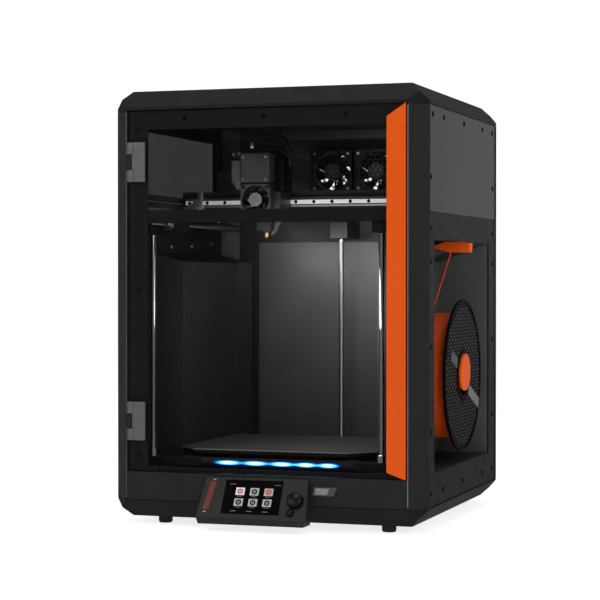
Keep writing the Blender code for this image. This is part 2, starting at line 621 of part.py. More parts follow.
def screen_unit():
    shape = bmesh.new()
    rear = FRONT - GAP
    for x, y, z in ((75, FACE_TOP.y, FACE_TOP.z), (75, rear, FACE_TOP.z), (80, FACE_FOOT.y, FACE_FOOT.z),
                    (77, FACE_FOOT.y, FOOT_HEIGHT), (77, rear, FOOT_HEIGHT)):
        shape.verts.new((-x * MM, y, z))
        shape.verts.new(((x - 16) * MM, y, z))
    bmesh.ops.convex_hull(shape, input=shape.verts)
    bmesh.ops.recalc_face_normals(shape, faces=shape.faces)
    housing = add("screen_housing", shape, "black_plastic")
    cut(housing, face_box("screen_pocket", (-48 * MM, 28 * MM), (3 * MM, 49 * MM), (-2.5 * MM, 10 * MM)))
    face_box("touchscreen", (-47.5 * MM, 27.5 * MM), (3.5 * MM, 48.5 * MM), (-2.2 * MM, -0.5 * MM),
             "black_plastic")
    knob, button = on_face(47 * MM, 29 * MM), on_face(43 * MM, 45 * MM)
    cut(housing,
        rod("knob_well", knob + FACE_OUT * -4 * MM, knob + FACE_OUT * 20 * MM, 10.6 * MM, sides=32),
        rod("button_well", button + FACE_OUT * -6 * MM, button + FACE_OUT * 20 * MM, 4.4 * MM))
    turn = pivot("knob_axis", knob)
    rod("control_knob", knob + FACE_OUT * -3.5 * MM, knob + FACE_OUT * 8 * MM, 10 * MM, "black_plastic", turn,
        sides=32)
    press = pivot("button_axis", button)
    rod("reset_button", button + FACE_OUT * -3.5 * MM, button + FACE_OUT * 1.5 * MM, 4 * MM,
        "black_plastic", press)


# Spool ----------------------------------------------------------------------------------------
def spool():
    holder = rod("spool_holder", (RECESS_IN + GAP, SPOOL_Y, HOLDER_Z), (SPOOL_OUT + MM, SPOOL_Y, HOLDER_Z),
                 HOLDER_RADIUS, "orange", sides=32)
    cap = [(SPOOL_OUT + out, SPOOL_Y, HOLDER_Z) for out in (0.8 * MM, 3.6 * MM)]
    join(holder, rod("holder_cap", *cap, 25.8 * MM, sides=40))
    axis = pivot("spool_axis", (SPOOL_IN, SPOOL_Y, SPOOL_Z))
    width, flange, core = SPOOL_OUT - SPOOL_IN, 4 * MM, SPOOL_BORE + 4 * MM
    profile = [(SPOOL_BORE, 0), (SPOOL_RADIUS, 0), (SPOOL_RADIUS, flange), (core, flange),
               (core, width - flange), (SPOOL_RADIUS, width - flange), (SPOOL_RADIUS, width),
               (SPOOL_BORE, width)]
    turned("filament_spool", profile, (SPOOL_IN, SPOOL_Y, SPOOL_Z), "black_plastic", axis, 64)
    low, high = flange + GAP, width - flange - GAP
    winding = [(core + GAP, low), (WINDING_RADIUS, low), (WINDING_RADIUS, high), (core + GAP, high)]
    turned("filament_winding", winding, (SPOOL_IN, SPOOL_Y, SPOOL_Z), "orange", axis, 64)
    profile = [(151 * MM, 357 * MM), (176 * MM, 350 * MM), (205 * MM, 350 * MM), (205.5 * MM, 362.5 * MM),
               (203.5 * MM, 362.5 * MM), (203.5 * MM, 364.2 * MM), (170 * MM, 364.2 * MM)]
    outline("filament_guide", profile, GUIDE_Y - 7 * MM, GUIDE_Y + 7 * MM, "orange")


def strand():
    """The filament from the guide to where it leaves the winding, drawn straight."""
    guide_exit = Vector((177 * MM, GUIDE_Y, 350 * MM - 4 * GAP))
    reach = Vector((0, SPOOL_Y - guide_exit.y, SPOOL_Z - guide_exit.z))
    radius = WINDING_RADIUS + 1.5 * MM
    lean = math.asin(radius / reach.length)
    run = math.sqrt(reach.length ** 2 - radius ** 2)
    direction = Matrix.Rotation(-lean, 3, "X") @ reach.normalized()
    touch = guide_exit + direction * run
    touch.x = 166 * MM
    curve = bpy.data.curves.new("filament_strand", "CURVE")
    curve.dimensions = "3D"
    curve.bevel_depth = 0.9 * MM
    curve.bevel_resolution = 2
    curve.use_fill_caps = True
    line = curve.splines.new("POLY")
    line.points.add(1)
    line.points[0].co = (*guide_exit, 1)
    line.points[1].co = (*touch, 1)
    curve.materials.append(finish_of("filament_strand", "orange"))
    PARTS.objects.link(bpy.data.objects.new("filament_strand", curve))


body()
posts()
rear_shell()
front_panels()
side_panels()
chamber()
door()
lifting()
bed()
gantry()
print_head()
rear_fans()
electrics()
screen_unit()
spool()
strand()
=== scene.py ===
"""How the enclosed desktop 3-D printer looks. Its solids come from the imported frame; this script gives
them finishes and rounded edges, and adds the fine pieces.

Places are in millimetres from the body's middle (x), its front face (y) and the floor (z), and at()
turns them into metres in the frame.
"""

import json
import math

import bmesh
import bpy
from mathutils import Matrix, Vector


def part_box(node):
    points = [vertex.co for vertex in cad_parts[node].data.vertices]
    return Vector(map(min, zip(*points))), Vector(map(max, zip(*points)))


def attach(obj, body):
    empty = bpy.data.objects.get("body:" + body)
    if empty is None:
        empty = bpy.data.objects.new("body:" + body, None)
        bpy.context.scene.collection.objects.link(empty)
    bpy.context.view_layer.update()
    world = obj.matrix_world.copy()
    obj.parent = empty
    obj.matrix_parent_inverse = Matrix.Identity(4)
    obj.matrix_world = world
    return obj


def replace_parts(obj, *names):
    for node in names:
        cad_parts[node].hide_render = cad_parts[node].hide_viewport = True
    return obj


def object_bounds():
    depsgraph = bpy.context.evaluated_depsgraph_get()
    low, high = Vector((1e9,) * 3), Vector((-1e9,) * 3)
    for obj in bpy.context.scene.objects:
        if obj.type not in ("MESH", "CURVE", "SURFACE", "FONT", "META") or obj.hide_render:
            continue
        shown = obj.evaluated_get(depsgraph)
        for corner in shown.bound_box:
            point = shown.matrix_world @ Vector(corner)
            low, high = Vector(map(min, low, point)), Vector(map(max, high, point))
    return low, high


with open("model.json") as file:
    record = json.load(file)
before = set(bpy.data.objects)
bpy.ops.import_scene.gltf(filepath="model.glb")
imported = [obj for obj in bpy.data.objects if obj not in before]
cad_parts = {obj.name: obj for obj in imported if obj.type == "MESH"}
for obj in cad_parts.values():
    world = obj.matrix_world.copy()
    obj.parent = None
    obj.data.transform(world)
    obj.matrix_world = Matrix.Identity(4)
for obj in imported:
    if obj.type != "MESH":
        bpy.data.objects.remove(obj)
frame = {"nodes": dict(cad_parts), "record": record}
CAD_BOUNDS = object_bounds()

MM = 0.001
BODIES = frame["record"]["behaviour"]["bodies"]
BODY_OF = {node: body for body, nodes in BODIES.items() for node in nodes}
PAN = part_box("base_pan")
FRONT, BACK = PAN[0].y, PAN[1].y
HALF = PAN[1].x / MM
DEPTH = (BACK - FRONT) / MM
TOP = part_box("top_frame")[1].z / MM


def at(x, y, z):
    return Vector((x * MM, FRONT + y * MM, z * MM))


def limits(node):
    """A CAD node's limits along x, y and z, in this script's millimetres."""
    low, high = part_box(node)
    y = ((low.y - FRONT) / MM, (high.y - FRONT) / MM)
    return ((low.x / MM, high.x / MM), y, (low.z / MM, high.z / MM))


def middle(node):
    return [sum(pair) / 2 for pair in limits(node)]


# Finishes -------------------------------------------------------------------------------------
class Finish:
    """One procedural material, built up from object coordinates."""

    def __init__(self, name, roughness=0.5, metallic=0.0):
        self.material = bpy.data.materials.new(name)
        self.material.use_nodes = True
        self.tree = self.material.node_tree
        self.shader = self.tree.nodes["Principled BSDF"]
        self.shader.inputs["Roughness"].default_value = roughness
        self.shader.inputs["Metallic"].default_value = metallic
        self.where = self.tree.nodes.new("ShaderNodeTexCoord").outputs["Object"]

    def node(self, kind, settings=None, **inputs):
        new = self.tree.nodes.new("ShaderNode" + kind)
        for key, value in (settings or {}).items():
            setattr(new, key, value)
        for key, value in inputs.items():
            self.put(new.inputs[key.replace("_", " ")], value)
        return new

    def put(self, socket, value):
        if isinstance(value, bpy.types.NodeSocket):
            self.tree.links.new(value, socket)
        else:
            socket.default_value = value

    def stretched(self, scale):
        return self.node("Mapping", Vector=self.where, Scale=scale).outputs["Vector"]

    def noise(self, scale, detail=3.0, where=None, distortion=0.0):
        return self.node("TexNoise", Vector=where or self.where, Scale=scale, Detail=detail,
                         Distortion=distortion).outputs["Fac"]

    def between(self, value, low, high, start=0.3, end=0.7):
        mapped = self.node("MapRange", Value=value)
        for i, number in enumerate((start, end, low, high), 1):
            mapped.inputs[i].default_value = number
        return mapped.outputs["Result"]

    def blend(self, factor, first, second):
        mixed = self.node("Mix", {"data_type": "RGBA"})
        self.put(mixed.inputs["Factor"], factor)
        for socket, colour in ((mixed.inputs[6], first), (mixed.inputs[7], second)):
            self.put(socket, colour if isinstance(colour, bpy.types.NodeSocket) else (*colour, 1))
        return mixed.outputs[2]

    def math(self, operation, a, b=0.0):
        new = self.node("Math", {"operation": operation})
        self.put(new.inputs[0], a)
        self.put(new.inputs[1], b)
        return new.outputs[0]

    def colour(self, value):
        self.put(self.shader.inputs["Base Color"], value)

    def rough(self, value):
        self.put(self.shader.inputs["Roughness"], value)

    def bump(self, height, depth, strength=1.0):
        bumped = self.node("Bump", Height=height, Distance=depth, Strength=strength)
        self.put(self.shader.inputs["Normal"], bumped.outputs["Normal"])

    def surface(self):
        return self.tree.nodes["Material Output"].inputs["Surface"]


def mottled(name, dark, light, roughness, patch, grain, depth, metallic=0.0, specular=0.5):
    """A finish with slow colour patches, uneven gloss and a fine grain. patch and grain are the noises'
    scales, and depth is the grain's, in millimetres."""
    new = Finish(name, metallic=metallic)
    new.colour(new.blend(new.between(new.noise(patch, 6.0), 0.0, 1.0), tone(dark), tone(light)))
    new.rough(new.between(new.noise(patch * 2.5, 4.0), *roughness))
    new.bump(new.noise(grain, 3.0), depth * MM)
    new.shader.inputs["Specular IOR Level"].default_value = specular
    return new.material


def grey(value, warmth=1.0):
    return (value * warmth, value, value / warmth)


def tone(value):
    """A colour as it is, or a number as a grey."""
    return value if isinstance(value, tuple) else grey(value)


def clear_panel(name, tint, reflect, roughness):
    """Clear sheet: what is behind it shows, under a faintly wiped reflection that grows with the slant."""
    face_on, edge_on = 0.035, 0.45
    new = Finish(name)
    through = new.node("BsdfTransparent", Color=(*tint, 1))
    shine = new.node("BsdfGlossy", Color=(*grey(reflect), 1))
    wipes = new.noise(9.0, 3.0, new.stretched((1, 1, 0.3)), 1.5)
    new.put(shine.inputs["Roughness"], new.between(wipes, roughness, roughness * 2.5))
    facing = new.node("LayerWeight", Blend=0.5)
    slant = new.math("POWER", facing.outputs["Facing"], 5.0)
    mixed = new.node("MixShader")
    new.put(mixed.inputs[0], new.math("ADD", new.math("MULTIPLY", slant, edge_on), face_on))
    new.put(mixed.inputs[1], through.outputs[0])
    new.put(mixed.inputs[2], shine.outputs[0])
    new.put(new.surface(), mixed.outputs[0])
    return new.material


def smoked_panel(name):
    """Dark acrylic that lets a little light through."""
    new = Finish(name, roughness=0.12)
    new.colour(new.blend(new.between(new.noise(6.0, 3.0), 0.0, 1.0), grey(0.012), grey(0.020)))
    new.rough(new.between(new.noise(25.0, 4.0), 0.10, 0.16))
    new.bump(new.noise(60.0, 2.0), 0.01 * MM)
    through = new.node("BsdfTransparent", Color=(*grey(0.52), 1))
    mixed = new.node("MixShader")
    mixed.inputs[0].default_value = 0.35
    new.put(mixed.inputs[1], new.shader.outputs[0])
    new.put(mixed.inputs[2], through.outputs[0])
    new.put(new.surface(), mixed.outputs[0])
    return new.material


def printed(name, dark, light, layer=0.25):
    """Printed plastic: thin layers along Z, with a soft sheen."""
    new = Finish(name)
    new.colour(new.blend(new.between(new.noise(30.0, 4.0), 0.0, 1.0), dark, light))
    new.rough(new.between(new.noise(90.0, 3.0), 0.42, 0.54))
    new.shader.inputs["Specular IOR Level"].default_value = 0.2
    layers = new.node("TexWave", {"bands_direction": "Z"}, Vector=new.where,
                      Scale=math.pi / (10 * layer * MM), Distortion=0.4)
    new.bump(layers.outputs["Fac"], 0.03 * MM, 0.6)
    return new.material


def brushed(name, dark, light, roughness, along, metallic=1.0):
    """Metal with fine lines along one axis."""
    stretch = [600.0, 600.0, 600.0]
    stretch["XYZ".index(along)] = 12.0
    new = Finish(name, metallic=metallic)
    lines = new.noise(1.0, 4.0, new.stretched(stretch))
    new.colour(new.blend(new.between(lines, 0.0, 1.0), dark, light))
    new.rough(new.between(lines, *roughness))
    new.bump(lines, 0.004 * MM)
    return new.material


def glow(name, colour, strength, dim=0.6):
    """A lit surface, a little uneven."""
    new = Finish(name, roughness=0.3)
    patch = new.between(new.noise(300.0, 2.0), dim, 1.0)
    new.colour(grey(0.02) + (1,))
    new.put(new.shader.inputs["Emission Color"], new.blend(patch, tuple(c * dim for c in colour), colour))
    new.shader.inputs["Emission Strength"].default_value = strength
    return new.material


def braided(name, dark, light):
    """A woven cable sleeve."""
    new = Finish(name)
    first = new.node("TexWave", {"bands_direction": "DIAGONAL"}, Vector=new.where, Scale=260.0)
    mirrored = new.stretched((1, -1, 1))
    second = new.node("TexWave", {"bands_direction": "DIAGONAL"}, Vector=mirrored, Scale=260.0)
    weave = new.math("MULTIPLY", first.outputs["Fac"], second.outputs["Fac"])
    new.colour(new.blend(weave, dark, light))
    new.rough(new.between(weave, 0.5, 0.75, 0.0, 1.0))
    new.bump(weave, 0.2 * MM)
    return new.material


def mesh_sheet(name, cell, hole):
    """Perforated sheet metal: dark round holes in rows."""
    new = Finish(name, metallic=0.7)
    cells = new.node("TexVoronoi", Vector=new.where, Scale=1 / (cell * MM), Randomness=0.0)
    open_part = new.between(cells.outputs["Distance"], 0.0, 1.0, hole, hole + 0.05)
    new.colour(new.blend(open_part, grey(0.004), grey(0.35)))
    new.rough(new.between(open_part, 0.9, 0.35, 0.0, 1.0))
    new.bump(open_part, 0.3 * MM)
    return new.material


def circuit(name):
    """A circuit board's green mask over its tracks."""
    new = Finish(name)
    tracks = new.node("TexBrick", Vector=new.where, Scale=90.0, Mortar_Size=0.03).outputs["Fac"]
    new.colour(new.blend(tracks, (0.004, 0.05, 0.018), (0.02, 0.14, 0.05)))
    new.rough(new.between(tracks, 0.25, 0.35, 0.0, 1.0))
    new.bump(tracks, 0.04 * MM)
    return new.material


COAT = mottled("powder_coat", 0.0074, 0.0098, (0.46, 0.56), 25, 1300, 0.016, specular=0.22)
# The same powder coat on the front posts and lower front panel, painted lighter there as painted light.
FRONT_COAT_PAINTED_LIGHTER = mottled("front_coat_painted_lighter", 0.0145, 0.0180, (0.46, 0.56), 25, 1300, 0.016, specular=0.22)
INNER_COAT = mottled("inner_powder_coat", 0.007, 0.010, (0.50, 0.60), 9, 1300, 0.008, specular=0.2)
# Painted light and shade in the spool tray: its walls painted light grey as if lit, its level faces painted
# darker as shade.
TRAY_WALL_PAINTED_LIGHT = mottled("tray_wall_painted_light", 0.070, 0.088, (0.55, 0.65), 20, 1300, 0.02, specular=0.25)
TRAY_FLOOR_PAINTED_SHADE = mottled("tray_floor_painted_shade", 0.022, 0.030, (0.55, 0.65), 20, 1300, 0.02, specular=0.15)
MOULDED = mottled("moulded_black", 0.011, 0.016, (0.40, 0.50), 60, 2200, 0.006)
DULL = mottled("dull_black", 0.006, 0.010, (0.55, 0.70), 60, 1500, 0.03)
GLASS_BLACK = mottled("screen_glass", 0.0010, 0.0016, (0.16, 0.24), 20, 1500, 0.002, specular=0.10)
SMOOTH = mottled("polished_black", 0.003, 0.005, (0.16, 0.26), 90, 1500, 0.004, specular=0.32)
BOLT = mottled("blackened_bolt", 0.001, 0.003, (0.50, 0.65), 700, 3000, 0.005, specular=0.05)
BRIGHT_BOLT = mottled("plated_bolt", 0.55, 0.72, (0.18, 0.30), 700, 3000, 0.01, metallic=1.0)
HINGE_PLATE = mottled("hinge_plate", 0.115, 0.15, (0.34, 0.44), 60, 1200, 0.03, metallic=0.3)
RUBBER = mottled("foot_rubber", 0.010, 0.014, (0.70, 0.85), 120, 1800, 0.06)
STRIP = mottled("orange_strip", (0.71, 0.080, 0.0), (0.75, 0.090, 0.0), (0.40, 0.50), 7, 900, 0.003,
                specular=0.2)
# Painted highlights for the posts' edges beside the door: a dim one for the left, a brighter one for the
# right.
LEFT_EDGE_PAINTED_HIGHLIGHT = mottled("left_edge_painted_highlight", 0.07, 0.11, (0.30, 0.42), 30, 900, 0.01, metallic=0.4)
RIGHT_EDGE_PAINTED_HIGHLIGHT = mottled("right_edge_painted_highlight", 0.20, 0.26, (0.30, 0.42), 30, 900, 0.01, metallic=0.3)
PRINTED = printed("printed_orange", (0.84, 0.105, 0.004), (0.92, 0.125, 0.006))
PRINTED_BLACK = printed("printed_black", grey(0.012), grey(0.018))
FILAMENT = mottled("filament", (0.84, 0.085, 0.004), (0.94, 0.115, 0.006), (0.34, 0.44), 200, 700, 0.02,
                   specular=0.3)
ROD_Y = brushed("ground_rod_y", grey(0.50), grey(0.68), (0.10, 0.20), "Y")
ROD_Z = brushed("ground_rod_z", grey(0.50), grey(0.68), (0.10, 0.20), "Z")
RAIL = brushed("ground_rail", grey(0.15), grey(0.22), (0.34, 0.44), "X", 0.8)
# Painted highlight: the rail face's middle band in near white, standing in for the glint on polished steel.
RAIL_FACE_PAINTED_HIGHLIGHT = brushed("rail_face_painted_highlight", grey(0.86), grey(0.96), (0.30, 0.42), "X", 0.35)
THREAD = mottled("rolled_thread", 0.26, 0.38, (0.36, 0.48), 300, 1500, 0.01, metallic=1.0)
BRACKET = brushed("milled_aluminium", grey(0.42), grey(0.58), (0.26, 0.38), "Y")
BRASS = mottled("brass", (0.55, 0.36, 0.13), (0.70, 0.48, 0.20), (0.22, 0.34), 400, 900, 0.02, metallic=1.0)
GALVANISED = mesh_sheet("perforated_case", 6.0, 0.32)
# The bed sheet's bare steel edge, painted lighter than its own tone as a painted rim highlight.
SHEET_EDGE_AND_HIGHLIGHT = brushed("sheet_edge_and_painted_highlight", grey(0.34), grey(0.46), (0.34, 0.44), "X", 0.5)
SPRING_SHEET = mottled("textured_sheet", (0.050, 0.046, 0.040), (0.090, 0.081, 0.068), (0.40, 0.55), 900, 900,
                       0.03)
BELT = mottled("belt_rubber", 0.010, 0.016, (0.60, 0.72), 300, 1500, 0.08)
SLEEVE = braided("braided_sleeve", grey(0.008), grey(0.030))
TUBE = mottled("feed_tube", 0.50, 0.62, (0.30, 0.40), 80, 800, 0.01)
HEAD_GREY = mottled("head_grey", 0.036, 0.046, (0.38, 0.48), 60, 1200, 0.015)
GREY_PLASTIC = mottled("grey_plastic", 0.060, 0.082, (0.36, 0.46), 60, 1200, 0.02)
SLOT_FLOOR = mottled("slot_floor", 0.020, 0.028, (0.45, 0.55), 60, 1200, 0.01)
PORT_METAL = mottled("socket_metal", grey(0.30, 1.08), grey(0.42, 1.08), (0.28, 0.40), 300, 1500, 0.01,
                     metallic=0.5)
# Painted shade: a darker plate standing in for the shaded walls of the socket's recess.
PORT_RECESS_PAINTED_SHADE = mottled("port_recess_painted_shade", grey(0.050, 1.05), grey(0.075, 1.05), (0.35, 0.5), 200, 1500, 0.02)
RED_STRIP = mottled("red_strip", (0.150, 0.026, 0.013), (0.200, 0.040, 0.020), (0.45, 0.55), 300, 1600, 0.03)
BOARD = circuit("circuit_board")
FLANGE = mottled("spool_black", 0.0022, 0.0036, (0.50, 0.62), 60, 1500, 0.02, specular=0.07)
BLADE = mottled("blade_black", 0.0018, 0.0030, (0.36, 0.48), 120, 1500, 0.01, specular=0.14)
LIGHT_PLASTIC = mottled("light_plastic", 0.145, 0.19, (0.36, 0.46), 90, 1200, 0.02)
COVER_COAT = mottled("cover_coat", 0.012, 0.016, (0.46, 0.56), 14, 1300, 0.008)
# Painted light: the back liner painted pale grey, as the back wall looks when lit from above.
LINER_PAINTED_LIGHT = mottled("liner_painted_light", 0.050, 0.064, (0.50, 0.60), 14, 1300, 0.008)
CLEAR = clear_panel("clear_acrylic", grey(0.95), 0.05, 0.02)
SMOKED = smoked_panel("smoked_acrylic")
SCREEN_WHITE = glow("screen_white", grey(0.80), 0.9)
SCREEN_GREY = glow("screen_grey", grey(0.42), 0.9)
SCREEN_DIM = glow("screen_dim", grey(0.10), 0.9)
SCREEN_RED = glow("screen_red", (0.70, 0.04, 0.02), 0.8)
LAMP = glow("chamber_lamp", (1.0, 0.97, 0.92), 6.0, 0.9)


# Mesh code ------------------------------------------------------------------------------------
def placed(name, data):
    """A new object in the scene."""
    new = bpy.data.objects.new(name, data)
    bpy.context.scene.collection.objects.link(new)
    return new


def mesh_of(name, shape):
    """A bmesh's own mesh, with its faces turned outwards."""
    bmesh.ops.recalc_face_normals(shape, faces=shape.faces)
    mesh = bpy.data.meshes.new(name)
    shape.to_mesh(mesh)
    shape.free()
    return mesh


def piece(name, shape, body, material, smooth=35.0):
    """Finish a bmesh as an object that rides on a body."""
    mesh = mesh_of(name, shape)
    new = placed(name, mesh)
    mesh.materials.append(material)
    mesh.shade_smooth()
    mesh.set_sharp_from_angle(angle=math.radians(smooth))
    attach(new, body)
    return new


def second_finish(new, material, chosen):
    """Gives the faces for which chosen(face) is true a second material."""
    new.data.materials.append(material)
    for face in new.data.polygons:
        face.material_index = int(chosen(face))


def round_edges(new, width, segments=2, angle=25.0):
    bevel = new.modifiers.new("rounded_edges", "BEVEL")
    bevel.width = width * MM
    bevel.segments = segments
    bevel.limit_method = "ANGLE"
    bevel.angle_limit = math.radians(angle)
    bevel.use_clamp_overlap = True
    bevel.harden_normals = True


def refined(node, material, width=0.5, segments=2, angle=25.0):
    """A CAD node with its flat faces made whole and its edges rounded, in place of the node."""
    shape = bmesh.new()
    shape.from_mesh(frame["nodes"][node].data)
    bmesh.ops.remove_doubles(shape, verts=shape.verts, dist=1e-6)
    bmesh.ops.dissolve_limit(shape, angle_limit=math.radians(0.5), verts=shape.verts, edges=shape.edges)
    new = piece(f"{node}_finished", shape, BODY_OF[node], material, 30.0)
    round_edges(new, width, segments, angle)
    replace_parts(new, node)
    return new


def bevelled(shape, edges, width, segments=2):
    bmesh.ops.bevel(shape, geom=edges, offset=width * MM, segments=segments, profile=0.5, affect="EDGES")


def edges_at(vertices):
    return list(dict.fromkeys(edge for vertex in vertices for edge in vertex.link_edges))


def block(shape, x, y, z, rounding=0.0, segments=2):
    """A box between limits in millimetres, with rounded edges."""
    verts = bmesh.ops.create_cube(shape, size=1.0)["verts"]
    bmesh.ops.scale(shape, vec=Vector((x[1] - x[0], y[1] - y[0], z[1] - z[0])) * MM, verts=verts)
    bmesh.ops.translate(shape, vec=at(sum(x) / 2, sum(y) / 2, sum(z) / 2), verts=verts)
    if rounding:
        bevelled(shape, edges_at(verts), rounding, segments)


def axes_of(direction):
    return Vector(direction).normalized().to_track_quat("Z", "Y").to_matrix()


def circles(shape, rings, origin, direction, steps):
    """Loops of vertices from (radius, distance along the axis). A radius may be a function of the angle.
    The origin is in metres, radii and distances are in millimetres."""
    turn = axes_of(direction)
    loops = []
    for radius, along in rings:
        loop = []
        for i in range(steps):
            angle = 2 * math.pi * i / steps
            r = radius(angle) if callable(radius) else radius
            local = Vector((r * math.cos(angle), r * math.sin(angle), along)) * MM
            loop.append(shape.verts.new(origin + turn @ local))
        loops.append(loop)
    return loops


def joined(shape, loops, closed=False):
    """Faces from each loop to the next and, if closed, from the last to the first."""
    for first, second in zip(loops, loops[1:] + loops[:closed]):
        for i in range(len(first)):
            j = (i + 1) % len(first)
            shape.faces.new((first[i], first[j], second[j], second[i]))


def turned(shape, rings, origin, direction=(0, 0, 1), steps=32):
    """Rings, as circles takes them, joined and capped."""
    loops = circles(shape, rings, origin, direction, steps)
    joined(shape, loops)
    shape.faces.new(loops[0])
    shape.faces.new(loops[-1])


def ring(shape, rings, origin, direction=(0, 0, 1), steps=32):
    """As turned, with the last ring joined to the first, so that it has a hole."""
    joined(shape, circles(shape, rings, origin, direction, steps), closed=True)


def rounded_square(half, corner=6.0):
    """A rounded square's radius at an angle."""
    def radius(angle):
        return half / (abs(math.cos(angle)) ** corner + abs(math.sin(angle)) ** corner) ** (1 / corner)
    return radius


def hexagon(across):
    """A hexagon's radius at an angle, from its width across flats."""
    def radius(angle):
        return across / 2 / math.cos((angle + math.pi / 6) % (math.pi / 3) - math.pi / 6)
    return radius


def prism(shape, outline, low, high, axis="Y", rounding=0.0):
    """An outline of (x, z) along Y, or of (y, z) along X, or of (x, y) along Z, in millimetres."""
    slot = "XYZ".index(axis)
    loops = [[shape.verts.new(at(*spot[:slot], level, *spot[slot:])) for spot in outline]
             for level in (low, high)]
    shape.faces.new(loops[0])
    shape.faces.new(loops[1])
    joined(shape, loops)
    if rounding:
        bevelled(shape, edges_at(loops[0] + loops[1]), rounding)


def bolt(shape, place, direction, radius=2.8, height=0.6, socket=2.0):
    """A screw head with a hexagon socket. It stands on a surface point, in metres."""
    rings = [(radius, -0.3), (radius, height * 0.55), (radius * 0.88, height), (socket * 0.62, height)]
    rings += [(hexagon(socket), height * 0.98), (hexagon(socket), height - 1.2)]
    turned(shape, rings, place, direction, 24)


def bolts(name, spots, direction, size, body, material):
    """A piece of screw heads at spots in millimetres."""
    shape = bmesh.new()
    for spot in spots:
        bolt(shape, at(*spot), direction, *size)
    piece(name, shape, body, material)


def blocks(name, body, slot, material, *boxes):
    """A piece of blocks, each as block takes it."""
    shape = bmesh.new()
    for box in boxes:
        block(shape, *box)
    return piece(name, shape, body, material)


def tube(name, points, radius, body, material):
    """A bent tube along a smooth curve through points in metres."""
    curve = bpy.data.curves.new(name, "CURVE")
    curve.dimensions = "3D"
    curve.bevel_depth = radius * MM
    curve.bevel_resolution = 4
    curve.use_fill_caps = True
    curve.resolution_u = 8
    line = curve.splines.new("BEZIER")
    line.bezier_points.add(len(points) - 1)
    for spot, place in zip(line.bezier_points, points):
        spot.co = place
        spot.handle_left_type = spot.handle_right_type = "AUTO"
    curve.materials.append(material)
    new = placed(name, curve)
    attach(new, body)


def carve(new, shape):
    """Cut a bmesh's closed shapes out of an object, for good."""
    cutter = placed("carving", mesh_of("carving", shape))
    cut = new.modifiers.new("cut", "BOOLEAN")
    cut.operation = "DIFFERENCE"
    cut.object = cutter
    bpy.context.view_layer.update()
    result = bpy.data.meshes.new_from_object(new.evaluated_get(bpy.context.evaluated_depsgraph_get()))
    new.modifiers.clear()
    new.data = result
    bpy.data.objects.remove(cutter, do_unlink=True)
    result.shade_smooth()
    result.set_sharp_from_angle(angle=math.radians(30))


# Body -----------------------------------------------------------------------------------------
def shell():
    for node, width in (("base_pan", 1.2), ("top_frame", 1.2), ("left_side_panel", 0.6),
                        ("right_side_panel", 0.6), ("top_panel", 0.6)):
        refined(node, COAT, width, angle=20.0)
    # Painted light: the front posts and panel take the lighter copy of the coat.
    for node, width in (("post_front_left", 0.8), ("post_front_right", 0.8), ("front_lower_panel", 0.7)):
        refined(node, FRONT_COAT_PAINTED_LIGHTER, width, angle=20.0)
    for node, width in (("door_frame", 0.5), ("chamber_floor", 0.3)):
        refined(node, INNER_COAT, width)
    refined("left_inner_cover", COVER_COAT, 0.5)
    # Painted light and shade: the tray's walls light grey as if lit, its floor and ceiling darker as shade.
    second_finish(refined("spool_recess", TRAY_WALL_PAINTED_LIGHT, 0.5), TRAY_FLOOR_PAINTED_SHADE, lambda face: abs(face.normal.z) > 0.5)
    for node in ("left_window", "right_window"):
        refined(node, SMOKED, 0.4)


def edge_lines():
    """Light strips beside the door, painted highlights on the posts' folded edges with the right one painted
    brighter, and the flanges behind the seam at the top of the sides and back.
    """
    # Painted highlight: a thin light strip along each post's edge, lighter on the right.
    for side, word, finish in ((-1, "left", LEFT_EDGE_PAINTED_HIGHLIGHT), (1, "right", RIGHT_EDGE_PAINTED_HIGHLIGHT)):
        edge = sorted((side * 185.2, side * 186.3))
        blocks(f"post_edge_{word}", "case", "black_sheet", finish, (edge, (-0.25, 0.3), (36, 526), 0.12))
    foot, head, corner = 520, 533, 24
    shape = bmesh.new()
    block(shape, (corner - HALF, HALF - corner), (DEPTH - 3.2, DEPTH - 2.2), (foot - 2, head), 0.2)
    for side in (-1, 1):
        block(shape, sorted((side * (HALF - 4.6), side * (HALF - 3.6))), (28, DEPTH - 28), (foot, head), 0.2)
        insets = ((2.7, 23.5), (23.3, 2.9), (24.1, 3.7), (3.5, 24.3))
        slant = [(side * (HALF - a), DEPTH - b) for a, b in insets]
        prism(shape, slant, foot, head, "Z")
    piece("seam_flanges", shape, "case", DULL)


def side_screws():
    """Rows of countersunk screws round each side's panels."""
    face = limits("right_side_panel")[0][1]
    spots = [(y, z) for y in (32.5, 373.0) for z in (126.0, 230.6, 335.4, 377.5, 440.0)]
    spots += [(y, 517.5) for y in (42.0, 98.0, 205.0, 311.0, 371.0)]
    spots += [(y, 50.0) for y in (33.0, 93.0, 200.0, 310.0, 370.0)]
    shape = bmesh.new()
    for side in (-1, 1):
        for y, z in spots:
            bolt(shape, at(side * face, y, z), (side, 0, 0), 3.6, 0.6)
    piece("side_screws", shape, "case", BOLT)


def front_screws():
    face = limits("door_frame")[1][0]
    shape = bmesh.new()
    for x in (-108, -2, 105):
        bolt(shape, at(x, face, 517), (0, -1, 0), 2.9, 0.6)
    for x in (-171, 171):
        for z in (90, 300, 505):
            bolt(shape, at(x, face, z), (0, -1, 0), 2.4, 0.5)
    piece("frame_screws", shape, "case", BOLT)


def lid_screws():
    (x0, x1), (y0, y1), _ = limits("top_panel")
    inset = 9.0
    spots = [(x, y, TOP - 0.4) for x in (x0 + inset, 0.0, x1 - inset) for y in (y0 + inset, y1 - inset)]
    bolts("lid_screws", spots, (0, 0, 1), (2.7, 0.35), "case", BOLT)


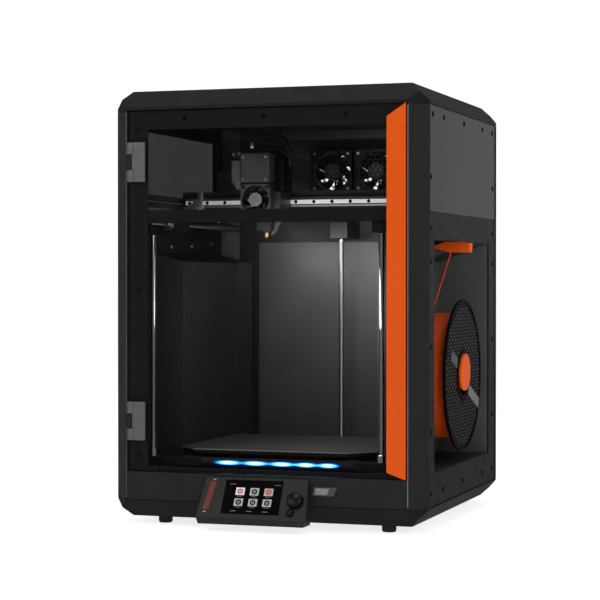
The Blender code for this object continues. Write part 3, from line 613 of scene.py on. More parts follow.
def back():
    """The back's countersunk screws, its louvres and the seams of its cover, all sunk into the sheet, and
    dark matt plates at the louvres' bottoms as painted shade.
    """
    screws = [(x, z) for x in (-172, 0, 172) for z in (45, 200, 360, 514) if (x, z) != (172, 45)]
    rows = [120 + row * 9.0 for row in range(7)]
    columns = [-66 + column * 12.0 for column in range(12)]
    beyond = DEPTH + 1
    side, foot, head, seam, deep = 166.0, 66.5, 419.5, 0.5, 0.7
    cuts = bmesh.new()
    for x, z in screws:
        turned(cuts, [(3.9, -1.1), (3.9, 1.0)], at(x, DEPTH, z), (0, 1, 0), 28)
    for z in rows:
        for x in columns:
            block(cuts, (x - 4.2, x + 4.2), (DEPTH - 1.3, beyond), (z, z + 2.8))
    for x in (-side, side):
        block(cuts, (x - seam, x + seam), (DEPTH - deep, beyond), (foot - seam, head + seam))
    for z in (foot, head):
        block(cuts, (-side + 0.6, side - 0.6), (DEPTH - deep, beyond), (z - seam, z + seam))
    carve(refined("rear_shell", COAT, 0.8, angle=20.0), cuts)
    spots = [(x, DEPTH - 1.0, z) for x, z in screws]
    bolts("back_screws", spots, (0, 1, 0), (3.2, 0.85), "case", BRIGHT_BOLT)
    # Painted shade: dark matt plates at the bottom of each louvre pocket.
    shade_plates = [((-71, 71), (DEPTH - 1.45, DEPTH - 1.25), (z - 0.5, z + 3.3)) for z in rows]
    blocks("back_louvre_painted_shade", "case", "black_sheet", DULL, *shade_plates)


# Door -----------------------------------------------------------------------------------------
def door():
    refined("door_glass", CLEAR, 0.4)
    refined("door_handle", STRIP, 0.5, 3)
    knuckles = []
    for node in ("hinge_upper", "hinge_lower"):
        refined(node, HINGE_PLATE, 0.35)
        (x0, _), (y0, _), (low, high) = limits(node)
        length = 0.29 * (high - low)
        for z in (low + 0.3, high - 0.3 - length):
            knuckles.append(((x0 + 4.0, x0 + 9.8), (y0 + 0.1, y0 + 1.3), (z, z + length), 0.35))
    blocks("hinge_knuckles", "door", "grey", HINGE_PLATE, *knuckles)
    magnets = [((166, 178), (4.0, 4.9), (z - 7, z + 7), 0.3) for z in (110, 490)]
    blocks("door_magnets", "door", "steel", BRACKET, *magnets)


# Chamber and bed ------------------------------------------------------------------------------
def smooth_rods():
    for node, material, axis in (("y_rod_left", ROD_Y, 1), ("y_rod_right", ROD_Y, 1),
                                 ("z_rod_left", ROD_Z, 2), ("z_rod_right", ROD_Z, 2)):
        spans = limits(node)
        length = spans[axis][1] - spans[axis][0]
        radius = (spans[0][1] - spans[0][0]) / 2
        centre = middle(node)
        centre[axis] = spans[axis][0]
        direction = [0, 0, 0]
        direction[axis] = 1
        rings = [(radius - 0.6, 0), (radius, 0.6), (radius, length - 0.6), (radius - 0.6, length)]
        shape = bmesh.new()
        turned(shape, rings, at(*centre), direction, 40)
        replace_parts(piece(f"{node}_ground", shape, "case", material), node)


def lead_screws():
    """Four-start threads, 8 mm lead, cut as a wave round each screw."""
    lead, starts, root, crest, step = 8.0, 4, 3.3, 4.0, 0.5

    def thread(z):
        def radius(angle):
            phase = (z / lead - angle / (2 * math.pi)) * starts % 1.0
            return root + (crest - root) * min(1.0, max(0.0, 1.6 - 3.2 * abs(phase - 0.5)))
        return radius

    for word in ("left", "right", "rear"):
        node = f"lead_screw_{word}"
        x, y, _ = middle(node)
        low, high = limits(node)[2]
        count = int((high - low - 4) / step)
        rings = [(thread(i * step), 2 + i * step) for i in range(count)]
        shape = bmesh.new()
        turned(shape, [(root, 0.0)] + rings + [(root, high - low)], at(x, y, low), steps=20)
        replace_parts(piece(f"{node}_threaded", shape, BODY_OF[node], THREAD, 50.0), node)


def steppers():
    """The five square motors: laminated middles between end plates."""
    for node in ("z_motor_left", "z_motor_right", "z_motor_rear", "xy_motor_left", "xy_motor_right"):
        (x0, x1), _, (z0, z1) = limits(node)
        x, y, _ = middle(node)
        half = (x1 - x0) / 2
        square, slim = rounded_square(half, 12.0), rounded_square(half - 0.6, 12.0)
        rings = [(slim, 0), (square, 0.6), (square, 8), (slim, 8.4)]
        layers = 12
        pitch = (z1 - z0 - 17) / layers
        for i in range(layers):
            base = 8.5 + pitch * i
            rings += [(square, base + 0.2), (square, base + pitch - 0.6), (slim, base + pitch - 0.3)]
        rings += [(square, z1 - z0 - 8), (square, z1 - z0 - 0.6), (slim, z1 - z0)]
        shape = bmesh.new()
        turned(shape, rings, at(x, y, z0), steps=48)
        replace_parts(piece(f"{node}_built", shape, "case", MOULDED, 40.0), node)


def bed():
    refined("bed_frame", COAT, 0.6)
    (x0, x1), (y0, y1), (z0, z1) = limits("print_bed")
    corner = 30.0

    def layer(name, inset, low, high, slot, material, rounding):
        """One sheet of the bed, with its front corners cut."""
        a, b, c, d = x0 + inset, x1 - inset, y0 + inset, y1 - inset
        cut = corner - inset * 0.6
        outline = [(a + cut, c), (b - cut, c), (b, c + cut), (b, d), (a, d), (a, c + cut)]
        shape = bmesh.new()
        prism(shape, outline, low, high, "Z", rounding)
        return piece(name, shape, "bed", material)

    sheet = layer("spring_steel_sheet", 0.0, z1 - 1.2, z1, "spring_sheet", SPRING_SHEET, 0.25)
    # The sheet's edges: bare steel, painted lighter as a painted rim highlight.
    second_finish(sheet, SHEET_EDGE_AND_HIGHLIGHT, lambda face: face.normal.z < 0.9)
    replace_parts(sheet, "print_bed")
    layer("heated_plate", 3.0, z0 + 2.5, z1 - 1.4, "black_sheet", DULL, 0.3)
    layer("bed_insulation", 9.0, z0, z0 + 2.2, "black_plastic", BELT, 0.3)
    foot = limits("bed_frame")[2][0]
    bearings = bmesh.new()
    for word in ("left", "right"):
        x, y, _ = middle(f"z_rod_{word}")
        ring(bearings, [(4.4, -4), (7.5, -4), (7.5, 20), (6.9, 20.6), (4.4, 20.6)], at(x, y, foot))
    piece("bed_bearings", bearings, "bed", ROD_Z)
    nuts = bmesh.new()
    for word in ("left", "right", "rear"):
        x, y, _ = middle(f"lead_screw_{word}")
        ring(nuts, [(4.4, -4), (5.1, -4), (5.1, -0.3), (7.5, -0.3), (7.5, 0.0), (7.5, 11.4), (7.2, 14.0),
                    (4.4, 14.0)], at(x, y, foot))
    piece("lead_nuts", nuts, "bed", BRASS)
    light_strip()


def light_strip():
    """Five blue-white spots behind a narrow lens on the bed's front beam."""
    _, (y0, _), (z0, z1) = limits("bed_frame")
    spots = ((-58.8, 22.0), (-22.6, 22.0), (13.0, 21.5), (45.0, 19.0), (74.0, 17.5))
    level = 80.8
    new = Finish("status_light", roughness=0.3)
    total = None
    for x, width in spots:
        centre = at(x, y0, level)
        reach = Vector((width, 30.0, 3.5)) * MM
        local = new.node("Mapping", {"vector_type": "POINT"}, Vector=new.where,
                         Location=[-c / r for c, r in zip(centre, reach)], Scale=[1 / r for r in reach])
        ball = new.node("TexGradient", {"gradient_type": "SPHERICAL"}, Vector=local.outputs["Vector"])
        value = ball.outputs["Fac"]
        total = value if total is None else new.math("ADD", total, value)
    level_ramp = new.node("ValToRGB", Fac=total)
    stops = level_ramp.color_ramp.elements
    stops[0].position, stops[0].color = 0.0, (0.0, 0.0002, 0.001, 1)
    stops[1].position, stops[1].color = 0.75, (0.85, 1.0, 1.0, 1)
    for place, colour in ((0.14, (0.0, 0.02, 0.14, 1)), (0.32, (0.0, 0.22, 0.95, 1)),
                          (0.52, (0.12, 0.62, 1.0, 1))):
        stops.new(place).color = colour
    new.colour(grey(0.01) + (1,))
    new.put(new.shader.inputs["Emission Color"], level_ramp.outputs["Color"])
    new.shader.inputs["Emission Strength"].default_value = 3.0
    shape = bmesh.new()
    block(shape, (-96, 108), (y0 - 0.9, y0 - 0.1), (z0 + 0.4, z1 - 0.3), 0.25)
    piece("light_strip_lens", shape, "bed", new.material)


def window_frames():
    """Dark flanges inside both windows, which leave the clear part that shows from within."""
    front, rear, foot, head = (41, 66), (351, 389), (398, 405), (510, 528)
    between = (foot[1] + 0.3, head[0] - 0.3)
    for side, word in ((-1, "left"), (1, "right")):
        x = sorted((side * 202.4, side * 203.8))
        whole = (front[0], rear[1])
        blocks(f"window_frame_{word}", "case", "black_sheet", INNER_COAT, (x, whole, head, 0.3),
               (x, whole, foot, 0.3), (x, rear, between, 0.3), (x, front, between, 0.3))


def rear_liner():
    """The sheet that lines the back of the lower chamber, painted pale as painted light on a wall lit from
    above.
    """
    sheet = ((-153, 130), (DEPTH - 4.4, DEPTH - 2.6), (68.5, 368), 0.3)
    blocks("rear_liner", "case", "black_sheet", LINER_PAINTED_LIGHT, sheet)


def chamber_details():
    """The windows' flanges, the liner and its screws, and a lamp bar behind the crossbar."""
    window_frames()
    rear_liner()
    blocks("chamber_lamp", "case", "black_plastic", LAMP, ((-130, 118), (21.4, 23.4), (388, 394), 0.4))
    spots = [(-204.0, y, z) for y, z in ((194, 358.5), (269, 360.5), (346, 365))]
    bolts("liner_screws", spots, (1, 0, 0), (3.0, 1.6), "case", BRIGHT_BOLT)


# Gantry ---------------------------------------------------------------------------------------
def gantry():
    refined("gantry_beam", COAT, 0.6)
    rail()
    beam_ends()
    belts()


def rail():
    """The rail that the head runs on: grooved sides, a polished face whose middle band is painted near white
    as a painted highlight, and countersunk screws.
    """
    (x0, x1), (y0, y1), (z0, z1) = limits("x_rail")
    mid, half, face, pitch = (z0 + z1) / 2, (z1 - z0) / 2, 2.6, 25.0
    screws = [x0 + 5.7 + pitch * i for i in range(int((x1 - x0) // pitch))]
    side = [(y1, half), (y0 + 3.4, half), (y0 + 3.0, half - 1.6), (y0 + 1.9, half - 1.6), (y0, face)]
    profile = [(y1, mid - half)] + [(y, mid + z) for y, z in side] + [(y, mid - z) for y, z in side[:0:-1]]
    shape = bmesh.new()
    prism(shape, profile, x0, x1, "X")
    new = piece("linear_rail", shape, "gantry", RAIL)
    holes = bmesh.new()
    for x in screws:
        turned(holes, [(2.4, -1), (2.4, 4.5)], at(x, y0, mid), (0, 1, 0), 24)
    carve(new, holes)
    # Painted highlight: the front faces within the face band take the near-white finish.
    second_finish(new, RAIL_FACE_PAINTED_HIGHLIGHT, lambda part: part.normal.y < -0.9 and abs(part.center.z / MM - mid) < face)
    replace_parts(new, "x_rail")
    spots = [(x, y0 + 4.4, mid) for x in screws]
    bolts("rail_screws", spots, (0, -1, 0), (2.2, 2.4, 1.6), "gantry", BOLT)


def beam_ends():
    """A stepped bracket at each end of the beam, and the seals of its bearings."""
    (x0, x1), (y0, y1), (z0, z1) = limits("x_rail")
    ends = limits("gantry_beam")[1]
    for side, word, start in ((-1, "left", 125.5), (1, "right", 131.5)):
        steps = [(start, z0 - 4), (start, z1 + 9), (134, z1 + 9), (134, z1 - 1), (140, z1 - 1), (140, z0 + 5),
                 (147, z0 + 5), (147, z0 + 1), (154, z0 + 1), (154, z0 - 4)]
        outline = [((x0 + x1) / 2 + side * reach, z) for reach, z in steps]
        shape = bmesh.new()
        prism(shape, outline, y0 - 0.25, y1 - 0.2, "Y", 0.3)
        piece(f"beam_bracket_{word}", shape, "gantry", BRACKET)
        x, _, z = middle(f"y_rod_{word}")
        seal = [(5.4, -2), (8.4, -2), (9.0, -1.2), (9.0, 1.2), (8.4, 2), (5.4, 2)]
        shape = bmesh.new()
        for y in (ends[0] + 1, ends[1] - 1):
            ring(shape, seal, at(x, y, z), (0, 1, 0))
        piece(f"bearing_seals_{word}", shape, "gantry", BRACKET)


def belts():
    """Two toothed belts: runs along each side that stay in place, and runs across on the beam."""
    thick, pitch, start = 1.2, 2.0, 40.0
    shape = bmesh.new()
    for word in ("left", "right"):
        x, y, z = middle(f"drive_pulley_{word}")
        for edge, side in ((x - 7.6, 1), (x + 7.6, -1)):
            outline = [(edge, start)]
            for i in range(int((y - start) / pitch)):
                a = start + i * pitch
                outline += [(edge + side * thick, a), (edge + side * thick * 0.45, a + pitch / 2)]
            outline.append((edge, y))
            for level in (z - 5.0, z + 4.0):
                prism(shape, outline, level - 3.0, level + 3.0, "Z")
    piece("side_belts", shape, "case", BELT)
    for word in ("left", "right"):
        pulley(word, start)
    (x0, x1), (_, y1), _ = limits("x_rail")
    runs = [((x0 - 6, x1 + 6), (y1 + gap, y1 + gap + 1.3), (424.6, 430.6), 0.2) for gap in (4.0, 11.0)]
    blocks("cross_belts", "gantry", "rubber", BELT, *runs)


def pulley(word, idler_y):
    """A side's toothed drive pulley, and its two idlers on one pin at the front."""
    def tooth(angle):
        return 6.1 + 0.35 * math.cos(20 * angle)

    node = f"drive_pulley_{word}"
    x, y, _ = middle(node)
    low, high = limits(node)[2]
    rings = [(7.9, 0), (7.9, 1.2), (tooth, 1.3), (tooth, 10.4), (7.9, 10.5), (7.9, 11.6), (tooth, 11.7),
             (tooth, 20.6), (7.9, 20.7), (7.9, 22.0), (2.5, 22.1), (2.5, high - low)]
    shape = bmesh.new()
    turned(shape, rings, at(x, y, low), steps=80)
    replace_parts(piece(f"{node}_toothed", shape, BODY_OF[node], BRACKET), node)
    groove = [(2.6, 0), (8.0, 0), (8.0, 0.8), (6.2, 1.2), (6.2, 7.6), (8.0, 8.0), (8.0, 8.8), (2.6, 8.8)]
    shape = bmesh.new()
    for level in (-11.0, -2.0):
        ring(shape, groove, at(x, idler_y, (low + high) / 2 + level))
    turned(shape, [(2.5, 0), (2.5, 40)], at(x, idler_y, 396.0), steps=20)
    piece(f"front_idlers_{word}", shape, "case", BRACKET)


def blades(shape, origin, direction, hub, tip, depth, count, lean=0.5, sweep=0.35):
    """Curved fan blades round a hub, each a thin closed sheet."""
    turn = axes_of(direction)
    across, along, thick = 5, 5, 0.7

    def corner(blade, i, j, layer):
        angle = 2 * math.pi * blade / count + sweep * i / across + lean * j / along
        r = hub - 0.5 + (tip - hub + 0.5) * i / across
        z = depth * (0.08 + 0.84 * j / along) + layer
        return shape.verts.new(origin + turn @ (Vector((r * math.cos(angle), r * math.sin(angle), z)) * MM))

    for blade in range(count):
        front, rear = [[[corner(blade, i, j, layer) for j in range(along + 1)] for i in range(across + 1)]
                       for layer in (0, thick)]
        for i in range(across):
            for j in range(along):
                shape.faces.new((front[i][j], front[i + 1][j], front[i + 1][j + 1], front[i][j + 1]))
                shape.faces.new((rear[i][j], rear[i][j + 1], rear[i + 1][j + 1], rear[i + 1][j]))
            for j in (0, along):
                shape.faces.new((front[i][j], rear[i][j], rear[i + 1][j], front[i + 1][j]))
        for j in range(along):
            for i in (0, across):
                shape.faces.new((front[i][j], front[i][j + 1], rear[i][j + 1], rear[i][j]))


# Print head -----------------------------------------------------------------------------------
def print_head():
    (x0, x1), (y0, y1), (_, z1) = limits("print_head")
    x, _, z = middle("head_fan_rotor")
    low, high = 439.5, z1 - 2.6
    shape = bmesh.new()
    block(shape, (x - 21, x + 19.6), (y0, y0 + 14), (low, high), 2.2, 3)
    block(shape, (x - 19.8, x + 18.6), (y0 + 14.4, y1 - 12), (low + 1, high - 1), 1.0)
    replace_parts(piece("extruder_cover", shape, "head", HEAD_GREY), "print_head")
    extruder_sides(x, (x0, x1), y0, y1)
    shape = bmesh.new()
    for dx, dz in ((-16.9, 33.0), (14.5, 33.0), (14.5, 4.0), (-16.9, 4.0)):
        bolt(shape, at(x + dx, y0, low + dz), (0, -1, 0), 2.0, 1.2, 1.7)
    for dx, level in ((-23.4, 477.6), (-31.0, 476.6)):
        bolt(shape, at(x + dx, y0 + 4, level), (0, -1, 0), 1.6, 1.0, 1.4)
    piece("extruder_screws", shape, "head", BRIGHT_BOLT)
    head_fan_frame(x, y0, z)
    heat_sink(x, y0, y1)
    head_fan(x, limits("head_fan_rotor")[1][0], z)
    hot_end()
    head_cables(x, y0, y1, z1)


def extruder_sides(x, ends, y0, y1):
    """The covers and blocks to the left, to the right and behind the extruder."""
    x0, x1 = ends
    shape = bmesh.new()
    outline = [(x0, 442), (x0 + 8, 431), (x0 + 11, 431), (x0 + 13, 434), (x0 + 13, 468.5), (x0 + 2, 468.5),
               (x0, 466.5)]
    prism(shape, outline, y0 + 4, y0 + 38, "Y", 0.7)
    piece("extruder_side_left", shape, "head", GREY_PLASTIC)
    shape = bmesh.new()
    outline = [(x0 + 1, 474), (x0 + 13, 471), (x0 + 13, 480.4), (x0 + 3, 480.4), (x0 + 1, 478.6)]
    prism(shape, outline, y0 + 4, y0 + 22, "Y", 0.5)
    block(shape, (x - 19, x + 19), (y1 - 14, y1), (441, 480), 1.0)
    piece("extruder_sides", shape, "head", PRINTED_BLACK)
    rear_block = ((x1 - 12.6, x1), (y0 + 20, y1), (430, 474), 1.5)
    blocks("extruder_block", "head", "black_plastic", BLADE, rear_block)
    sensor = ((x + 22.0, x + 26.4), (y0 + 24, y0 + 32), (433, 452), 0.6)
    blocks("sensor_block", "head", "grey", LIGHT_PLASTIC, sensor)


def head_fan_frame(x, y, z):
    """The square frame of the fan below the extruder, and its screws."""
    outer, lip = rounded_square(20.4, 9.0), rounded_square(19.8, 9.0)
    rings = [(18.8, 0.3), (19.2, 0), (lip, 0), (outer, 0.7), (outer, 10.5), (18.8, 10.5)]
    shape = bmesh.new()
    ring(shape, rings, at(x, y, z), (0, 1, 0), 64)
    piece("fan_frame", shape, "head", HEAD_GREY)
    spots = [(x + dx, y, z + dz) for dx in (-16, 16) for dz in (-16, 16)]
    bolts("fan_screws", spots, (0, -1, 0), (2.0, 0.8, 1.6), "head", BOLT)


def head_fan(x, y, z):
    """The fan's blades and its pale hub."""
    shape = bmesh.new()
    turned(shape, [(8.2, 0), (9.0, 0.8), (9.0, 7.4), (8.4, 7.6)], at(x, y, z), (0, 1, 0), 48)
    blades(shape, at(x, y, z), (0, 1, 0), 9.0, 17.8, 6.0, 7, 0.55, 0.5)
    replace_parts(piece("head_fan_turning", shape, "head_fan", BLADE), "head_fan_rotor")
    shape = bmesh.new()
    turned(shape, [(8.6, 0), (8.8, 0.2), (8.8, 0.9), (8.6, 1.0)], at(x, y - 0.9, z), (0, 1, 0), 48)
    piece("head_fan_hub", shape, "head_fan", LIGHT_PLASTIC)


def heat_sink(x, y0, y1):
    fins = [((x - 15.5, x + 15.5), (y0 + 13, y1 - 4), (399.5 + i * 4.4, 401.1 + i * 4.4), 0.2, 1)
            for i in range(9)]
    core = ((x - 6, x + 6), (y0 + 24, y1), (399, 438), 0.5)
    blocks("heat_sink_fins", "head", "steel", BRACKET, *fins, core)


def hot_end():
    (x0, x1), (y0, y1), (z0, z1) = limits("nozzle")
    x = middle("head_fan_rotor")[0]
    y = (y0 + y1) / 2
    shape = bmesh.new()
    block(shape, (x0, x1), (y0, y1), (378, 390), 1.4, 3)
    turned(shape, [(5.4, 375.5), (7.0, 376.5), (7.0, 379.0), (6.0, 379.5)], at(x, y, 0), steps=32)
    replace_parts(piece("silicone_sock", shape, "head", RUBBER), "nozzle")
    shape = bmesh.new()
    rings = [(0.5, z0), (0.9, z0), (3.2, z0 + 3.4), (hexagon(7.0), z0 + 3.5), (hexagon(7.0), z0 + 8.6),
             (3.0, z0 + 8.7), (3.0, 377)]
    turned(shape, rings, at(x, y, 0), steps=36)
    rings = [(3.4, 389)]
    for i in range(3):
        z = 390.5 + 2.2 * i
        rings += [(3.4, z), (2.2, z + 0.5), (2.2, z + 1.3), (3.4, z + 1.8)]
    turned(shape, rings + [(3.4, z1)], at(x, y, 0), steps=32)
    piece("brass_nozzle", shape, "head", BRASS)
    shape = bmesh.new()
    duct = [(x + 12, 399), (x + 24, 399), (x + 31, 410), (x + 31, 428), (x + 14, 428)]
    prism(shape, duct, y0 - 24, y1 + 1, "Y", 1.2)
    piece("duct_body", shape, "head", MOULDED)
    shape = bmesh.new()
    spout = [(x + 12, 399), (x + 20, 399), (x + 9, 377), (x + 4, 372), (x + 3, 374)]
    prism(shape, spout, y1 + 1.2, y1 + 9, "Y", 0.6)
    piece("cooling_duct", shape, "head", GREY_PLASTIC)


def head_cables(x, y0, y1, z1):
    """The feed tube's fitting, and the sleeved cables that bend down behind the head."""
    nut = hexagon(6.0)
    rings = [(4.2, 0), (4.2, 3), (nut, 3.1), (nut, 9), (2.4, 9.2), (2.4, 13.5), (1.8, 14)]
    shape = bmesh.new()
    turned(shape, rings, at(x - 17, y0 + 34, z1 - 1), steps=36)
    piece("tube_fitting", shape, "head", BRACKET)
    sleeve = [(-27, 37, -1), (-10, 39, 3.6), (8, 40, 4.6), (22, 42, 2), (31, 44, -7), (32, 44, -18)]
    loop = [(-3, 45, 20), (8, 46, 21.5), (20, 47, 17), (28, 47, 6), (30, 46, -8), (30, 46, -20)]
    feed = [(-17, 34, 11), (-17, 35, 17), (-13, 39, 21.5), (-4, 44, 21)]
    runs = (("cable_sleeve", sleeve, 4.2, SLEEVE), ("cable_loop", loop, 5.0, DULL),
            ("feed_tube", feed, 2.0, MOULDED))
    for name, route, radius, material in runs:
        tube(name, [at(x + a, y0 + b, z1 + c) for a, b, c in route], radius, "head", material)
    clamp = ((x - 20, x + 14), (y0 + 20, y1 - 2), (z1 - 1.5, z1 + 4.0), 1.0)
    blocks("cable_clamp", "head", "black_plastic", PRINTED_BLACK, clamp)
    spots = [(x + dx, y0 + 24, z1 + 4.0) for dx in (-16, -6)]
    bolts("cable_clamp_screws", spots, (0, 0, 1), (2.2, 1.4), "head", BOLT)


# Fans, power and electronics ------------------------------------------------------------------
def rear_fans():
    (x0, x1), (y0, y1), (z0, z1) = limits("rear_fan_housing")
    mid = (z0 + z1) / 2
    frames, guards, grilles = bmesh.new(), bmesh.new(), bmesh.new()
    corners = []
    for word, offset in (("left", -33), ("right", 33)):
        node = f"rear_fan_rotor_{word}"
        x = (x0 + x1) / 2 + offset
        fan_frame(frames, x, y0, y1, mid)
        corners += [(x + dx, y0, mid + dz) for dx in (-25, 25) for dz in (-25, 25)]
        fan_guard(guards, x, mid)
        honeycomb(grilles, at(x, y0 - 0.4, mid), Matrix.Rotation(math.pi / 2, 3, "X"), 29.6, 7.2, 1.3, 0.7)
        front = limits(node)[1][0]
        shape = bmesh.new()
        turned(shape, [(11.5, 0), (13.0, 1.2), (13.0, 15.0), (12.4, 15.4)], at(x, front, mid), (0, 1, 0), 48)
        blades(shape, at(x, front, mid), (0, 1, 0), 13.0, 27.2, 14.0, 7, 0.75, 0.45)
        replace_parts(piece(f"{node}_turning", shape, BODY_OF[node], BLADE), node)
        shape = bmesh.new()
        turned(shape, [(12.0, 0), (12.2, 0.3), (12.2, 0.9)], at(x, front - 0.8, mid), (0, 1, 0), 48)
        piece(f"{node}_cap", shape, BODY_OF[node], MOULDED)
    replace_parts(piece("fan_housings", frames, "case", BLADE), "rear_fan_housing")
    bolts("fan_corner_screws", corners, (0, -1, 0), (1.9, 1.2, 1.6), "case", BRACKET)
    piece("back_fan_guards", guards, "case", COAT)
    piece("fan_front_grilles", grilles, "case", BLADE)


def spokes(shape, centre, count, first, radius, start, length):
    """Round bars out from a point, in the plane across Y."""
    for arm in range(count):
        angle = 2 * math.pi * arm / count + first
        across = Vector((math.cos(angle), 0, math.sin(angle)))
        turned(shape, [(radius, 0), (radius, length)], centre + across * start * MM, across, 12)


def fan_frame(shape, x, y0, y1, mid):
    """A square fan housing: flanges at both ends, corner posts, and a motor plate on three arms."""
    outer, lip, deep = rounded_square(31.4, 16.0), rounded_square(30.6, 16.0), y1 - y0
    rings = [(28.2, 0.8), (28.8, 0), (lip, 0), (outer, 0.8), (outer, 3.2), (28.9, 3.4), (28.9, deep - 3.4),
             (outer, deep - 3.2), (outer, deep), (28.2, deep)]
    ring(shape, rings, at(x, y0, mid), (0, 1, 0), 96)
    for dx in (-25, 25):
        for dz in (-25, 25):
            turned(shape, [(3.6, 3), (3.6, deep - 3)], at(x + dx, y0, mid + dz), (0, 1, 0), 16)
    spokes(shape, at(x, y1 - 3, mid), 3, 0.5, 1.6, 10, 20)
    turned(shape, [(13.0, 0), (13.0, 2)], at(x, y1 - 4, mid), (0, 1, 0), 40)


def fan_guard(shape, x, mid):
    """Three rings, four spokes and a middle plate over an outlet in the back."""
    for r in (10.0, 16.0, 22.0):
        ring(shape, [(r - 0.7, 0), (r + 0.7, 0), (r + 0.7, 1.4), (r - 0.7, 1.4)], at(x, DEPTH - 1.8, mid),
             (0, 1, 0), 64)
    spokes(shape, at(x, DEPTH - 1.1, mid), 4, math.pi / 4, 0.8, 3, 24.5)
    turned(shape, [(4.5, 0), (4.5, 1.3)], at(x, DEPTH - 1.8, mid), (0, 1, 0), 32)


def honeycomb(shape, centre, turn, outer, pitch, wall, depth):
    """Hexagonal ribs within a radius of a plane's point. They run from the plane down by depth."""
    rows = int(outer / (pitch * math.sqrt(3) / 2)) + 1
    rib = pitch / math.sqrt(3)
    inner = rib * (pitch - wall) / pitch
    for row in range(-rows, rows + 1):
        for column in range(-rows - 1, rows + 2):
            x, y = (column + 0.5 * (row % 2)) * pitch, row * pitch * math.sqrt(3) / 2
            if not pitch * 0.5 <= math.hypot(x, y) <= outer - pitch * 0.5:
                continue
            loops = []
            for radius, level in ((rib, 0.0), (inner, 0.0), (inner, -depth), (rib, -depth)):
                angles = [math.pi / 3 * i for i in range(6)]
                spots = [(x + radius * math.sin(a), y + radius * math.cos(a), level) for a in angles]
                loops.append([shape.verts.new(centre + turn @ (Vector(spot) * MM)) for spot in spots])
            joined(shape, loops, closed=True)


def power_and_board():
    refined("power_supply", GALVANISED, 0.8)
    refined("control_board", BOARD, 0.3)
    (x0, x1), (y0, y1), (z0, z1) = limits("control_board")
    shape = bmesh.new()
    for i in range(5):
        z = z0 + 25 + i * 36
        block(shape, (x1, x1 + 5), (y0 + 20, y0 + 34), (z, z + 14), 0.5)
        block(shape, (x1, x1 + 9), (y1 - 16, y1 - 5), (z, z + 20), 0.5)
        turned(shape, [(4, 0), (4, 9), (3.6, 9.6)], at(x1, y0 + 60, z + 6), (1, 0, 0), 24)
    piece("board_components", shape, "case", MOULDED)
    refined("power_inlet", MOULDED, 0.5)
    (x0, x1), (y0, y1), (z0, z1) = limits("power_inlet")
    x, z = x0 + 15.5, (z0 + z1) / 2
    shape = bmesh.new()
    for dx, dz in ((-7, 1), (7, 1), (0, -3)):
        block(shape, (x + dx - 0.6, x + dx + 0.6), (y1 - 15, y1 - 3), (z + dz - 2.2, z + dz + 2.2), 0.3)
    piece("inlet_pins", shape, "case", BRASS)
    refined("power_switch", SMOOTH, 0.5)
    x, _, z = middle("power_switch")
    high = limits("power_switch")[1][1]
    shape = bmesh.new()
    block(shape, (x - 0.4, x + 0.4), (high - 0.1, high + 0.25), (z + 3, z + 7), 0.1)
    ring(shape, [(1.4, 0), (2.0, 0), (2.0, 0.35), (1.4, 0.35)], at(x, high - 0.1, z - 5), (0, 1, 0), 24)
    piece("switch_marks", shape, "switch", TUBE)


# Screen unit ----------------------------------------------------------------------------------
FACE_TOP = Vector((0, FRONT - 2 * MM, 66 * MM))
FACE_FOOT = Vector((0, CAD_BOUNDS[0][1], 18 * MM))
FACE_DOWN = (FACE_FOOT - FACE_TOP).normalized()
FACE_OUT = Vector((0, FACE_DOWN.z, -FACE_DOWN.y)).normalized()
FACE_TURN = Matrix((Vector((1, 0, 0)), -FACE_DOWN, FACE_OUT)).transposed()


def on_face(x, down, out=0.0):
    """A point on the slanted face: across, down from its top edge and out from it, in millimetres."""
    return FACE_TOP + Vector((x * MM, 0, 0)) + FACE_DOWN * down * MM + FACE_OUT * out * MM


def face_plate(shape, x, down, out, rounding=0.2, slant=0.0):
    """A thin plate on the slanted face. slant moves its lower edge sideways."""
    verts = bmesh.ops.create_cube(shape, size=1.0)["verts"]
    bmesh.ops.scale(shape, vec=Vector((x[1] - x[0], down[1] - down[0], out[1] - out[0])) * MM, verts=verts)
    for vertex in verts:
        if vertex.co.y < 0:
            vertex.co.x += slant * MM
    bmesh.ops.rotate(shape, matrix=FACE_TURN, verts=verts)
    bmesh.ops.translate(shape, vec=on_face(sum(x) / 2, sum(down) / 2, sum(out) / 2), verts=verts)
    bevelled(shape, edges_at(verts), rounding)


